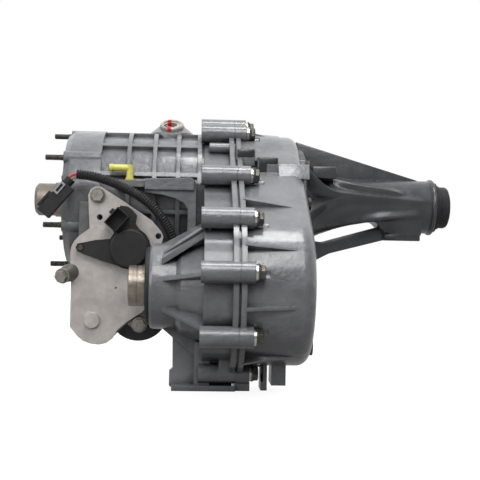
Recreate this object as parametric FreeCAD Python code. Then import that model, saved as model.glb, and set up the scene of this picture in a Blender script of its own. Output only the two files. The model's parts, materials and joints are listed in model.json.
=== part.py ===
import FreeCAD, Part
import math
import os

V = FreeCAD.Vector

# Transfer case with a planetary range set, a chain drive to a low front output, a long
# ribbed tail housing and an electric shift motor.  Millimetres.  X runs rearward from the
# front mounting face along the main shaft, Z is up, and -Y is the left side of the vehicle.

# Shaft layout
chain_pitch = 9.525
centre_pitches = 22
sprocket_teeth = 36
drop_angle = 32.4
front_axis_y = -chain_pitch * centre_pitches * math.cos(math.radians(drop_angle))
front_axis_z = -chain_pitch * centre_pitches * math.sin(math.radians(drop_angle))

# Casting stations along the shaft
split_x = 232.0
flange_thick = 8.0
rear_wall_x = 323.0
tail_end_x = 523.0
case_wall = 7.0
parting_groove = 1.4
parting_step = 4.0

# Front barrel
barrel_r = 98.0
pocket_depth = 6.0
barrel_wall = 12.0
barrel_bore_r = barrel_r - barrel_wall
barrel_rib = 6.0
grid_start_x = 48.0
grid_stations = (48.0, 88.0, 123.0, 155.0, 184.0)
grid_first_angle = 20.0
grid_step_angle = 30.0
front_wall = 24.0
face_chamfer = 7.0
nose_r = 56.0
nose_length = 6.0

# Mounting studs
stud_inset = 6.0
stud_circle_r = barrel_r - stud_inset
stud_count = 6
stud_first_angle = 36.2
stud_d = 8.0
stud_out = 25.0
stud_depth = 18.0
stud_boss_r = 9.0
stud_step = 0.02

# Egg-shaped chain case
lobe_wall_r = 97.0
bolt_path_r = 107.0
boss_r = 13.0
boss_front = 46.0
boss_rear = 17.0
front_lobe_x = 190.0
case_bolt_d = 10.0
main_bolt_angles = (96.7, 117.7, 60.0, 20.0, 340.0, 312.0)
low_bolt_angles = (127.0, 168.0, 210.0, 262.0, 297.0)
upper_span_bolts = (0.54,)
lower_span_bolts = (0.5,)

# Front output housing
collar_r = 53.5
collar_face_x = 124.0
collar_length = 33.0
drum_r = 66.0
shoulder_r = 84.0
shoulder_x = 197.0

# Shafts, bearings and seals
running_gap = 0.05
seat_gap = 0.3
input_stub_r = 23.0
input_stub_x = -48.0
input_seat_r = 24.5
pilot_r = 12.0
pilot_start = 28.0
input_bearing_bore = 50.0
input_bearing_od = 90.0
input_bearing_width = 20.0
main_shaft_r = 20.0
tail_shaft_r = 17.5
tail_shaft_end = 468.0
rear_bearing_bore = 40.0
rear_bearing_od = 80.0
rear_bearing_width = 18.0
front_shaft_r = 25.5
front_shaft_end_x = 97.5
front_groove_x = 107.8
driven_seat_r = 22.0
front_bearing_bore = 50.0
front_bearing_od = 80.0
front_bearing_width = 16.0
pocket_bearing_bore = 30.0
pocket_bearing_od = 62.0
pocket_bearing_width = 16.0
shaft_bore_r = 16.0
shaft_bore_length = 34.0

# Planetary set
gear_module = 2.5
sun_teeth = 28
planet_teeth = 10
ring_teeth = 48
planet_count = 4
gear_x = 40.0
gear_width = 24.0
ring_wall = 14.0
ring_outer_r = gear_module * ring_teeth / 2.0 + ring_wall
planet_pin_r = 4.5
carrier_plate = 7.0
dog_teeth = 19
dog_module = 2.78
dog_width = 12.0
high_dog_x = 53.0
low_dog_x = 69.0
sleeve_length = 75.0

# Range and mode shift
sector_x = 89.0
sector_z = -67.0
cam_turn = 60.0
range_travel = 15.0
mode_travel = 12.0
range_pin_r = 29.0
mode_pin_r = 16.0
cam_plate_r = 34.5
tower_wall = 5.0
cam_plate = 5.0
cam_y = -78.0
shift_pin_r = 3.5
slot_gap = 0.12
rail_y = -38.0
rail_z = -60.0
rail_r = 7.0
rail_end_x = rear_wall_x - 14.5
fork_thick = 8.0
sleeve_r = 30.0
mode_sleeve_r = 42.0
mode_sleeve_length = 24.0
mode_hub_x = 200.0
mode_hub_width = 16.0
mode_teeth = 30
mode_module = 2.2
clutch_x = 228.0
clutch_width = 8.0
fork_x = 108.0
mode_fork_x = 206.0
collar_width = 3.5
sector_shaft_r = 7.0

# Chain drive
chain_x = 262.0
chain_width = 30.0

# Shift motor
plate_y = -121.0
plate_thick = 3.5
plate_step = 1.2
gearbox_depth = 17.0
motor_x = 106.0
motor_z = -149.5
motor_r = 40.0
motor_length = 58.0
motor_bolt_d = 9.5
spacer_length = 15.0
train_module = 1.25
pinion_teeth = 12
idler_teeth = 40
output_teeth = 44
train_y = -117.5
train_width = 9.0
housing_wall = 3.0
cap_x = 46.9
cap_z = -161.4

# Tail housing
lip_r = 40.5
tail_flange_r = 79.0
tail_bolt_r = 70.0
yoke_r = 23.0
boot_r = 30.0
boot_end_x = 546.0

tail_bolt_angles = (50.0, 130.0, 180.0, 230.0, 310.0, 0.0)
bushing_x = 472.0
bushing_r = 26.0
tail_seal_r = 31.0
tone_x = rear_wall_x + 24.0
pad_x = 479.0
pad_hole_y = 18.0
pad_hole_r = 4.2
pad_drop = 49.5
pad_half = 26.0

# Small fittings
seal_r = 38.0
sector_bush_r = 10.0
vent_x = 91.0
vent_y = -102.0
fill_x = 143.5
fill_y = -2.5
fill_rise = 10.0
fill_tilt = 30.0
fill_thread_r = 12.0
drain_thread_r = 9.0
dowel_r = 4.0
washer_thick = 3.0
spot_face_r = 11.0
rear_round = 16.0
sensor_x = 94.3
sensor_z = -66.2
sensor_r = 25.0
socket_x = 78.3
socket_z = -29.5
socket_tilt = 41.0

# Conduit
conduit_d = 13.0
connector_x = 12.4
connector_y = -121.0
connector_z = 15.6
connector_tilt = 50.0
connector_rear = 8.0
lead_rise = 3.0


def x_cyl(radius, x_start, x_end, y=0.0, z=0.0):
    """Cylinder along X."""
    return Part.makeCylinder(radius, x_end - x_start, V(x_start, y, z), V(1, 0, 0))


def y_cyl(radius, y_start, y_end, x, z):
    """Cylinder along Y."""
    return Part.makeCylinder(radius, y_end - y_start, V(x, y_start, z), V(0, 1, 0))


def z_cyl(radius, z_start, z_end, x, y):
    """Cylinder along Z."""
    return Part.makeCylinder(radius, z_end - z_start, V(x, y, z_start), V(0, 0, 1))


def x_ring(outer, inner, x_start, x_end, y=0.0, z=0.0):
    """Plain ring about an X axis."""
    return x_cyl(outer, x_start, x_end, y, z).cut(x_cyl(inner, x_start - 1, x_end + 1, y, z))


def block(x_start, x_end, y_start, y_end, z_start, z_end):
    """Box between two corners."""
    size = (x_end - x_start, y_end - y_start, z_end - z_start)
    return Part.makeBox(size[0], size[1], size[2], V(x_start, y_start, z_start))


def turned(profile, y=0.0, z=0.0):
    """Solid of revolution about X from a closed (x, radius) profile."""
    points = [V(x, y, z + radius) for x, radius in profile]
    face = Part.Face(Part.makePolygon(points + points[:1]))
    return face.revolve(V(0, y, z), V(1, 0, 0), 360)


def x_prism(outline, x_start, x_end):
    """Extrude a (y, z) outline along X."""
    points = [V(x_start, y, z) for y, z in outline]
    face = Part.Face(Part.makePolygon(points + points[:1]))
    return face.extrude(V(x_end - x_start, 0, 0))


def y_prism(outline, y_start, y_end):
    """Extrude an (x, z) outline along Y."""
    points = [V(x, y_start, z) for x, z in outline]
    face = Part.Face(Part.makePolygon(points + points[:1]))
    return face.extrude(V(0, y_end - y_start, 0))


def joined(shapes):
    """Fuse a list of shapes into one solid."""
    whole = shapes[0]
    if len(shapes) > 1:
        whole = whole.multiFuse(shapes[1:])
    return whole.removeSplitter()


def polar(radius, angle, y=0.0, z=0.0):
    """Point in the YZ plane at an angle measured from +Y towards +Z."""
    turn = math.radians(angle)
    return (y + radius * math.cos(turn), z + radius * math.sin(turn))


def left_polar(radius, angle):
    """Point about the main shaft at an angle measured up from the left side."""
    return polar(radius, 180.0 - angle)


def span_normal(upper):
    """Direction from the shafts to the straight side of the chain case."""
    along = math.degrees(math.atan2(front_axis_z, front_axis_y)) % 360.0
    return along - 90.0 if upper else along + 90.0


def egg(radius, x_start, x_end):
    """Chain case outline, two equal arcs joined by their tangents, extruded along X."""
    top = span_normal(True)
    low = span_normal(False)
    low_centre = (front_axis_y, front_axis_z)

    def at(angle, centre=(0.0, 0.0)):
        y, z = polar(radius, angle, centre[0], centre[1])
        return V(x_start, y, z)

    facing = (top + low) / 2.0
    edges = [
        Part.LineSegment(at(top), at(top, low_centre)).toShape(),
        Part.Arc(at(top, low_centre), at(facing, low_centre), at(low, low_centre)).toShape(),
        Part.LineSegment(at(low, low_centre), at(low)).toShape(),
        Part.Arc(at(low), at(facing + 180.0), at(top)).toShape(),
    ]
    face = Part.Face(Part.Wire(edges))
    return face.extrude(V(x_end - x_start, 0, 0))


def case_bolt_points():
    """Places of the bolts round the parting flange, as (y, z)."""
    points = [polar(bolt_path_r, angle) for angle in main_bolt_angles]
    for angle in low_bolt_angles:
        points.append(polar(bolt_path_r, angle, front_axis_y, front_axis_z))
    for upper, shares in ((True, upper_span_bolts), (False, lower_span_bolts)):
        start_y, start_z = polar(bolt_path_r, span_normal(upper))
        for share in shares:
            points.append((start_y + front_axis_y * share, start_z + front_axis_z * share))
    return points


def stud_points():
    """Places of the mounting studs, as (y, z)."""
    step = 360.0 / stud_count
    return [left_polar(stud_circle_r, stud_first_angle + step * i) for i in range(stud_count)]


def gear_outline(teeth, module, tip, root, share, phase=0.0):
    """Straight-flanked gear outline as (u, v), with a tooth centred at the phase angle."""
    pitch_r = module * teeth / 2.0
    pitch = 2.0 * math.pi / teeth
    rows = (
        (pitch_r - root * module, -(share + 0.16) / 2.0),
        (pitch_r + tip * module, -(share - 0.2) / 2.0),
        (pitch_r + tip * module, (share - 0.2) / 2.0),
        (pitch_r - root * module, (share + 0.16) / 2.0),
    )
    outline = []
    for i in range(teeth):
        for radius, offset in rows:
            angle = math.radians(phase) + pitch * (i + offset)
            outline.append((radius * math.cos(angle), radius * math.sin(angle)))
    return outline


def x_gear(teeth, module, x_start, x_end, y=0.0, z=0.0, phase=0.0, tip=0.8, root=1.15, share=0.42):
    """Spur gear about an X axis."""
    outline = gear_outline(teeth, module, tip, root, share, phase)
    return x_prism([(y + u, z + v) for u, v in outline], x_start, x_end)


def y_gear(teeth, module, y_start, y_end, x, z, phase=0.0, tip=0.8, root=1.15, share=0.42):
    """Spur gear about a Y axis."""
    outline = gear_outline(teeth, module, tip, root, share, phase)
    return y_prism([(x + u, z + v) for u, v in outline], y_start, y_end)


def hexagon(across, x, y, z, length, axis):
    """Hexagonal bar from a point along an axis."""
    radius = across / math.sqrt(3.0)
    side = V(0, 0, 1) if abs(axis.z) < 0.9 else V(1, 0, 0)
    side = (side - axis * side.dot(axis)).normalize()
    other = axis.cross(side)
    points = []
    for i in range(6):
        angle = math.radians(60.0 * i + 30.0)
        points.append(V(x, y, z) + side * (radius * math.cos(angle)) + other * (radius * math.sin(angle)))
    face = Part.Face(Part.makePolygon(points + points[:1]))
    return face.extrude(axis * length)


def flange_bolt(x, y, z, axis, diameter, shank, head=None):
    """Flange bolt seated at a point, its head along the axis and its shank the other way."""
    seat = V(x, y, z)
    across = 1.5 * diameter
    flange = Part.makeCylinder(across * 0.7, diameter * 0.28, seat, axis)
    height = head if head else diameter * 0.85
    hexed = hexagon(across, x, y, z, height, axis)
    stem = Part.makeCylinder(diameter / 2.0, shank + 0.5, seat - axis * shank, axis)
    return joined([flange, hexed, stem])


def bearing(bore, outside, width, x_start, y=0.0, z=0.0):
    """Ball bearing with its races standing proud of the shields."""
    inner_r = bore / 2.0 + running_gap
    outer_r = outside / 2.0
    race = (outer_r - inner_r) * 0.28
    dip = width * 0.12
    end = x_start + width
    return turned([
        (x_start, inner_r),
        (x_start, inner_r + race),
        (x_start + dip, inner_r + race),
        (x_start + dip, outer_r - race),
        (x_start, outer_r - race),
        (x_start, outer_r),
        (end, outer_r),
        (end, outer_r - race),
        (end - dip, outer_r - race),
        (end - dip, inner_r + race),
        (end, inner_r + race),
        (end, inner_r),
    ], y, z)


def save(node, shape):
    """Write one named piece."""
    shape.exportStep("parts/" + node + ".step")
    solids = shape.Solids
    print(node, len(solids), "solids, volume", round(sum(s.Volume for s in solids) / 1000.0, 1), "cm3")


def group(shapes):
    """Compound of the separate solids of several shapes."""
    return Part.makeCompound([solid for shape in shapes for solid in shape.Solids])


def barrel():
    """Ribbed barrel of the front case, solid inside."""
    base_r = barrel_r - pocket_depth
    body = turned([
        (0.0, 0.0),
        (0.0, barrel_r - face_chamfer),
        (face_chamfer * 1.3, barrel_r),
        (grid_start_x, barrel_r),
        (grid_start_x, base_r),
        (split_x, base_r),
        (split_x, 0.0),
    ])
    rings = [x_ring(barrel_r, base_r - 1.0, x - barrel_rib / 2.0, x + barrel_rib / 2.0) for x in grid_stations]
    ribs = []
    count = int(360.0 / grid_step_angle)
    for i in range(count):
        angle = grid_first_angle + grid_step_angle * i
        rib = block(grid_start_x, grid_stations[-1], -barrel_rib / 2.0, barrel_rib / 2.0, base_r - 4.0, barrel_r - 0.2)
        rib.rotate(V(0, 0, 0), V(1, 0, 0), 90.0 - angle)
        ribs.append(rib)
    return [body] + rings + ribs


def case_bolt_holes(x_start, x_end, radius):
    """Holes of the parting flange bolts."""
    return [x_cyl(radius, x_start, x_end, y, z) for y, z in case_bolt_points()]


def front_case():
    """Front half of the casting with its barrel, chain case, output housing and feet."""
    low_y = front_axis_y
    low_z = front_axis_z
    collar_end = collar_face_x + collar_length
    adds = barrel()
    adds.append(x_cyl(nose_r, -nose_length, 2.0))
    adds.append(egg(lobe_wall_r - 4.0, front_lobe_x, split_x))
    adds.append(egg(bolt_path_r, split_x - flange_thick, split_x - parting_groove))
    adds.append(egg(bolt_path_r - parting_step, split_x - flange_thick, split_x))
    adds.append(turned([
        (collar_face_x, 0.0),
        (collar_face_x, collar_r - 4.0),
        (collar_face_x + 1.2, collar_r - 1.2),
        (collar_face_x + 4.0, collar_r),
        (collar_end, collar_r),
        (collar_end + 6.0, drum_r - 6.0),
        (shoulder_x - 3.0, drum_r + 6.0),
        (shoulder_x, shoulder_r),
        (split_x, shoulder_r),
        (split_x, 0.0),
    ], low_y, low_z))
    for y, z in case_bolt_points():
        adds.append(x_cyl(boss_r, split_x - boss_front, split_x, y, z))
    for y, z in stud_points():
        adds.append(x_cyl(stud_boss_r, 0.0, grid_start_x + 2.0, y, z))
    adds.extend(output_ribs())
    adds.extend(bridge_web())
    adds.append(collar_gusset())
    adds.append(dowel_boss())
    adds.append(tool_pad())
    adds.extend(encoder_bosses())
    adds.append(sector_tower())
    adds.append(fill_boss())
    adds.extend(front_foot())
    adds.append(vent_ledge())
    hollow = joined(adds).cut(front_case_cavities())
    return hollow.fuse(rail_boss()).cut(front_case_holes()).removeSplitter()


def output_ribs():
    """Radial ribs from the output collar to the bosses round the lower lobe."""
    ribs = []
    outer = bolt_path_r - boss_r + 2.0
    start = collar_face_x + 16.0
    boss_end = split_x - boss_front
    outline = [(start, 10.0), (start, collar_r - 1.0), (start + 2.0, collar_r + 1.0),
               (boss_end + 6.0, outer), (split_x - 2.0, outer), (split_x - 2.0, 10.0)]
    for angle in low_bolt_angles:
        rib = y_prism(outline, -2.75, 2.75)
        rib.rotate(V(0, 0, 0), V(1, 0, 0), angle - 90.0)
        rib.translate(V(0, front_axis_y, front_axis_z))
        ribs.append(rib)
    return ribs


def bridge_web():
    """Web between the barrel and the output housing, open where the conduit passes."""
    outline = [(112.0, 24.0), (178.0, 24.0), (180.0, 20.0), (180.0, -75.0), (169.0, -75.0), (169.0, -13.0),
               (163.6, -5.4), (152.0, 0.5), (134.7, 5.0), (112.0, 8.0)]
    plate = y_prism(outline, -115.0, -108.0)
    ledge = y_prism([(112.0, 11.5), (177.0, 11.5), (177.0, 26.0), (172.0, 28.5), (112.0, 26.0)], -118.5, -85.0)
    post = block(169.0, 180.0, -115.0, -80.0, -75.0, 20.0)
    wall = y_prism([(178.0, 22.0), (196.0, 22.0), (210.0, 10.0), (210.0, -70.0), (178.0, -70.0)], -104.0, -80.0)
    return [plate, ledge, post, wall]


def four_sided(corners):
    """Closed wire through four points."""
    points = [V(x, y, z) for x, y, z in corners]
    return Part.Wire(Part.makePolygon(points + points[:1]))


def collar_gusset():
    """Broad gusset from the top of the output collar up to the bosses of the parting flange."""
    thick = 8.0
    start = collar_face_x + 16.0
    end = split_x - boss_front + 12.0
    low = front_axis_z
    near = four_sided([(start, -172.0, low + collar_r), (start, -225.0, low + 35.5),
                       (start, -223.0, low + 35.5 - thick), (start, -172.0, low + collar_r - thick)])
    far = four_sided([(end, -112.0, -26.0), (end, -238.0, -38.0),
                      (end, -238.0, -38.0 - thick), (end, -112.0, -26.0 - thick)])
    return Part.makeLoft([near, far], True, True)


def dowel_boss():
    """Small boss between the two upper parting bolts."""
    return x_cyl(7.0, split_x - 35.0, split_x, -69.7, 73.0)


def tool_pad():
    """Raised machining pad on the left of the barrel, ahead of the shift gearbox."""
    return block(25.0, 40.0, -103.0, -80.0, -57.0, -6.0)


def motor_bolt_places():
    """Shift motor bolts as (x, z)."""
    return [(51.5, 1.9), (15.5, -100.2), (108.7, -166.1)]


def gearbox_back_y():
    """Rear face of the shift gearbox, which stands off the sector tower."""
    return plate_y + gearbox_depth


def encoder_bosses():
    """Bosses on the barrel that the shift motor bolts to."""
    seat = plate_y + seat_gap
    top, side = motor_bolt_places()[:2]
    return [y_cyl(11.0, seat, -62.0, top[0], top[1]), y_cyl(9.5, seat, -15.0, side[0], side[1])]


def sector_tower():
    """Tower round the shift sector, between the barrel and the shift gearbox."""
    outer = cam_plate_r + 1.5 + tower_wall
    return y_cyl(outer, gearbox_back_y() + seat_gap, -40.0, sector_x, sector_z)


def at_fill(shape):
    """Lean a shape drawn about Z from the seat of the fill plug."""
    shape.rotate(V(0, 0, 0), V(1, 0, 0), fill_tilt)
    shape.translate(V(fill_x, fill_y, barrel_r + fill_rise))
    return shape


def fill_boss():
    """Flared boss of the fill plug on the top of the barrel, faced towards the left."""
    y = fill_y + 12.0
    flare = Part.makeCone(33.0, 18.0, 12.0, V(fill_x, y, barrel_r), V(0, 0, 1))
    skirt = z_cyl(33.0, barrel_r - 18.0, barrel_r, fill_x, y)
    neck = at_fill(z_cyl(18.0, -30.0, 0.0, 0.0, 0.0))
    above = at_fill(block(-60.0, 60.0, -60.0, 60.0, 0.0, 60.0))
    return joined([flare, skirt, neck]).cut(above)


def front_foot():
    """Foot under the lower lobe of the front case."""
    y_mid = front_axis_y - 2.0
    web = y_prism([(153.0, -150.0), (228.0, -150.0), (228.0, -240.0), (156.0, -240.0), (150.0, -236.0),
                   (150.0, -217.0), (154.0, -214.0)], y_mid - 5.0, y_mid + 5.0)
    sole = block(153.0, split_x, y_mid - 22.0, y_mid + 22.0, -240.0, -233.0)
    stay = block(181.0, 200.0, y_mid - 18.0, y_mid + 18.0, -236.0, -180.0)
    pad = block(211.0, split_x, y_mid - 26.0, y_mid + 14.0, -217.0, -180.0)
    return [web, sole, stay, pad]


def vent_ledge():
    """Small ledge that the breather stands on."""
    return block(76.0, 116.0, -108.0, -84.0, 15.0, 24.0)


def rail_boss():
    """Boss inside the barrel that carries the front end of the shift rail."""
    return block(77.0, 87.0, rail_y - 26.0, rail_y + 12.0, -89.0, rail_z + 11.0).common(
        x_ring(barrel_rib + barrel_bore_r, 62.0, 70.0, 90.0))


def front_case_cavities():
    """Hollow of the front case, as one tool."""
    ring_seat = gear_x + gear_width + 2.0
    chamber = turned([
        (front_wall, 0.0),
        (front_wall, ring_outer_r - 4.0),
        (gear_x - 2.0, ring_outer_r - 4.0),
        (gear_x - 2.0, ring_outer_r + running_gap),
        (ring_seat, ring_outer_r + running_gap),
        (ring_seat, barrel_bore_r),
        (split_x + 1.0, barrel_bore_r),
        (split_x + 1.0, 0.0),
    ])
    nest = collar_face_x + front_bearing_width + 6.0
    drum_bore = turned([
        (nest, 0.0),
        (nest, front_bearing_od / 2.0 - 4.0),
        (nest + 8.0, collar_r - 8.0),
        (collar_face_x + collar_length + 6.0, drum_r - 6.0 - case_wall),
        (shoulder_x - 3.0, drum_r + 6.0 - case_wall),
        (shoulder_x + 3.0, shoulder_r - case_wall),
        (split_x + 1.0, shoulder_r - case_wall),
        (split_x + 1.0, 0.0),
    ], front_axis_y, front_axis_z)
    lobes = egg(lobe_wall_r - 4.0 - case_wall, front_lobe_x + case_wall, split_x + 1.0)
    tower = y_cyl(cam_plate_r + 1.5, gearbox_back_y() + 9.0, -46.0, sector_x, sector_z)
    return joined([chamber, drum_bore, lobes, tower])


def front_case_holes():
    """Bores and bolt holes of the front case."""
    tools = case_bolt_holes(split_x - boss_front + 8.0, split_x + 1.0, case_bolt_d / 2.0 + running_gap)
    for y, z in stud_points():
        tools.append(x_cyl(stud_d / 2.0 + running_gap, -1.0, stud_depth, y, z))
    tools.extend([x_cyl(dowel_r + running_gap, split_x - 6.5, split_x + 1.0, y, z) for y, z in dowel_points()])
    tools.append(x_cyl(input_bearing_od / 2.0 + running_gap, front_wall - input_bearing_width - 2.0, front_wall + 1.0))
    tools.append(x_cyl(seal_r + running_gap, -nose_length - 1.0, 3.0))
    tools.append(x_cyl(front_bearing_od / 2.0 + running_gap, collar_face_x - 1.0,
                       collar_face_x + front_bearing_width + 4.0, front_axis_y, front_axis_z))
    tools.append(x_cyl(front_bearing_od / 2.0 - 6.0, collar_face_x, collar_face_x + 40.0, front_axis_y, front_axis_z))
    tools.append(y_cyl(sector_bush_r + running_gap, plate_y, -80.0, sector_x, sector_z))
    tools.append(x_cyl(rail_r + running_gap, 78.0, 100.0, rail_y, rail_z))
    for x, z in motor_bolt_places()[:2]:
        tools.append(y_cyl(motor_bolt_d / 2.0 + running_gap, plate_y - 1.0, plate_y + 24.0, x, z))
    tools.append(z_cyl(3.5, 8.0, 30.0, vent_x, vent_y))
    tools.append(at_fill(z_cyl(fill_thread_r + running_gap, -40.0, 10.0, 0.0, 0.0)))
    return tools


def low_rib_ring(angles, x_start, x_end, y, z):
    """Tapered ribs on the outside of the rear case at angles round one lobe."""
    ribs = []
    outline = [(x_start, lobe_wall_r - 12.0), (x_start, bolt_path_r + 1.0), (x_start + 10.0, bolt_path_r - 1.0),
               (x_end, lobe_wall_r - 3.0), (x_end, lobe_wall_r - 12.0)]
    for angle in angles:
        rib = y_prism(outline, -2.25, 2.25)
        rib.rotate(V(0, 0, 0), V(1, 0, 0), angle - 90.0)
        rib.translate(V(0, y, z))
        ribs.append(rib)
    return ribs


def rear_shell():
    """Outside of the rear case, with its rounded rear edge."""
    lobes = egg(lobe_wall_r, split_x, rear_wall_x)
    rim = [edge for edge in lobes.Edges if edge.BoundBox.XMin > rear_wall_x - 0.1]
    lobes = lobes.makeFillet(rear_round, rim)
    dome = turned([
        (split_x, 0.0),
        (split_x, lobe_wall_r + 6.0),
        (rear_wall_x - 28.0, lobe_wall_r + 1.5),
        (rear_wall_x - 10.0, lobe_wall_r - 4.0),
        (rear_wall_x, lobe_wall_r - 17.0),
        (rear_wall_x, 0.0),
    ])
    hub = turned([
        (rear_wall_x - 10.0, 0.0),
        (rear_wall_x - 10.0, 62.0),
        (rear_wall_x, 58.0),
        (rear_wall_x + 4.5, 46.0),
        (rear_wall_x + 6.0, 0.0),
    ], front_axis_y, front_axis_z)
    return [lobes, dome, hub]


def rear_lugs():
    """Cast lugs and feet on the outside of the rear case."""
    foot_y = front_axis_y + 3.0
    x = split_x
    return [
        block(x, x + 25.0, -112.0, -78.0, 46.0, 68.5),
        block(x + 28.0, x + 55.0, -122.0, -86.0, 35.0, 57.0),
        block(x + 40.0, rear_wall_x + 5.0, -124.0, -80.0, 29.0, 48.0),
        block(x + 32.0, x + 40.0, foot_y - 16.0, foot_y + 16.0, -240.0, -200.0),
        block(x + 45.0, x + 63.0, foot_y - 20.0, foot_y + 20.0, -233.0, -196.0),
        block(x, x + 18.0, foot_y - 22.0, foot_y + 22.0, -240.0, -212.0),
    ]


def rear_case():
    """Rear half of the casting, which covers the chain."""
    adds = rear_shell()
    adds.append(egg(bolt_path_r, split_x + parting_groove, split_x + flange_thick))
    adds.append(egg(bolt_path_r - parting_step, split_x, split_x + flange_thick))
    for y, z in case_bolt_points():
        adds.append(x_cyl(boss_r, split_x, split_x + boss_rear, y, z))
    rib_end = rear_wall_x - 6.0
    adds.extend(low_rib_ring((149.0, 191.0, 236.0, 280.0), split_x + 6.0, rib_end, front_axis_y, front_axis_z))
    adds.extend(low_rib_ring((78.0, 107.0, 40.0, 0.0, 325.0), split_x + 6.0, rib_end - 14.0, 0.0, 0.0))
    for upper, share in ((True, 0.3), (True, 0.82), (False, 0.25), (False, 0.75)):
        adds.extend(low_rib_ring((span_normal(upper),), split_x + 6.0, rib_end,
                                 front_axis_y * share, front_axis_z * share))
    adds.extend(rear_lugs())
    for y, z in tail_bolt_points():
        adds.append(x_cyl(9.0, rear_wall_x - 16.0, rear_wall_x, y, z))
    inner_wall = rear_wall_x - case_wall - 2.0
    hollow = joined(adds).cut(egg(lobe_wall_r - case_wall, split_x - 1.0, inner_wall))
    bosses = [
        x_cyl(rear_bearing_od / 2.0 + 8.0, inner_wall - 13.0, inner_wall + 1.0),
        x_cyl(pocket_bearing_od / 2.0 + 7.0, inner_wall - 9.0, inner_wall + 1.0, front_axis_y, front_axis_z),
        x_cyl(rail_r + 6.0, inner_wall - 16.0, inner_wall + 1.0, rail_y, rail_z),
    ]
    return hollow.multiFuse(bosses).cut(rear_case_holes()).removeSplitter()


def rear_case_holes():
    """Bores and bolt holes of the rear case."""
    tools = case_bolt_holes(split_x - 1.0, split_x + boss_rear + 12.0, case_bolt_d / 2.0 + running_gap)
    seat = split_x + boss_rear
    tools.extend([x_cyl(spot_face_r, seat, seat + 18.0, y, z) for y, z in case_bolt_points()])
    tools.extend([x_cyl(dowel_r + running_gap, split_x - 1.0, split_x + 6.5, y, z) for y, z in dowel_points()])
    tools.append(x_cyl(rear_bearing_od / 2.0 + running_gap, rear_wall_x - 24.0, rear_wall_x - 4.0))
    tools.append(x_cyl(rear_bearing_od / 2.0 - 4.0, rear_wall_x - 10.0, rear_wall_x + 1.0))
    tools.append(x_cyl(pocket_bearing_od / 2.0 + running_gap, rear_wall_x - 19.0,
                       rear_wall_x - 2.0, front_axis_y, front_axis_z))
    tools.append(x_cyl(rail_r + running_gap, rail_end_x - 20.0, rail_end_x, rail_y, rail_z))
    for y, z in tail_bolt_points():
        tools.append(x_cyl(4.0 + running_gap, rear_wall_x - 12.5, rear_wall_x + 1.0, y, z))
    y, z = drain_place()
    tools.append(x_cyl(drain_thread_r + running_gap, rear_wall_x - 20.0, rear_wall_x + 1.0, y, z))
    return tools


def drain_place():
    """Drain plug centre on the rear wall, low in the chain case."""
    return polar(lobe_wall_r - case_wall - 18.0, 262.0, front_axis_y, front_axis_z)


def tail_bolt_points():
    """Bolts of the tail housing flange, as (y, z)."""
    return [polar(tail_bolt_r, angle) for angle in tail_bolt_angles]


def tail_tube():
    """Eccentric tapering tube of the tail housing."""
    stations = ((rear_wall_x + 8.0, 62.0, -1.0), (352.0, 44.0, 1.0), (400.0, 34.5, 3.0), (436.0, 29.5, 8.0),
                (470.0, 35.0, 1.5), (506.0, 37.0, 0.0))
    wires = []
    for x, radius, rise in stations:
        wires.append(Part.Wire(Part.makeCircle(radius, V(x, 0, rise), V(1, 0, 0))))
    return Part.makeLoft(wires, True, False)


def radial_fin(outline, thick, angle):
    """Longitudinal fin drawn as (x, radius) and turned round the main shaft."""
    fin = y_prism(outline, -thick / 2.0, thick / 2.0)
    fin.rotate(V(0, 0, 0), V(1, 0, 0), angle - 90.0)
    return fin


def extension_housing():
    """Tail housing with its fins, see-through window, foot pad and flared end."""
    root = rear_wall_x
    adds = [
        x_cyl(tail_flange_r, root, root + 9.0),
        tail_tube(),
        turned([
            (500.0, 0.0),
            (500.0, 36.8),
            (tail_end_x - 7.0, 37.2),
            (tail_end_x - 5.0, lip_r),
            (tail_end_x - 1.0, lip_r),
            (tail_end_x, lip_r - 1.0),
            (tail_end_x, 0.0),
        ]),
        radial_fin([(root, 30.0), (root, 91.0), (503.0, 38.0), (506.0, 30.0)], 8.0, 90.0),
    ]
    side = [(root, 40.0), (root, 76.0), (root + 14.0, 66.0), (root + 36.0, 50.0), (470.0, 34.0), (480.0, 28.0)]
    for angle in (163.0, 17.0):
        adds.append(radial_fin(side, 7.0, angle))
    short = [(root, 40.0), (root, 74.0), (root + 12.0, 62.0), (400.0, 36.0), (406.0, 28.0)]
    for angle in (140.0, 40.0, 196.0, 344.0):
        adds.append(radial_fin(short, 6.0, angle))
    strut = y_prism([(root, -30.0), (root, -94.0), (338.0, -92.0), (356.0, -79.0), (374.0, -70.0), (pad_x - 27.0, -pad_drop),
                     (pad_x + 26.0, -pad_drop), (pad_x + 26.0, -30.0)], -9.0, 9.0)
    window = y_prism([(350.0, -46.0), (361.0, -38.0), (436.0, -16.0), (449.0, -27.5), (363.0, -53.5),
                      (352.0, -52.0)], -10.0, 10.0)
    adds.append(strut.cut(window))
    adds.append(block(pad_x - 27.0, pad_x + 26.0, -pad_half, pad_half, -pad_drop, 9.5 - pad_drop))
    adds.append(block(pad_x - 27.0, pad_x + 26.0, 4.0 - pad_half, pad_half - 4.0, 8.5 - pad_drop, -20.0))
    adds.append(block(root + 18.0, 375.0, -58.0, -20.0, 35.0, 52.0))
    adds.append(y_cyl(13.0, 30.0, 66.0, tone_x + 5.0, 0.0))
    for y, z in tail_bolt_points():
        adds.append(x_cyl(11.0, root, root + 9.0, y, z))
    adds.append(y_cyl(7.0, 30.0, 66.0, tone_x + 24.0, 0.0))
    return joined(adds).cut(extension_cuts())


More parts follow.
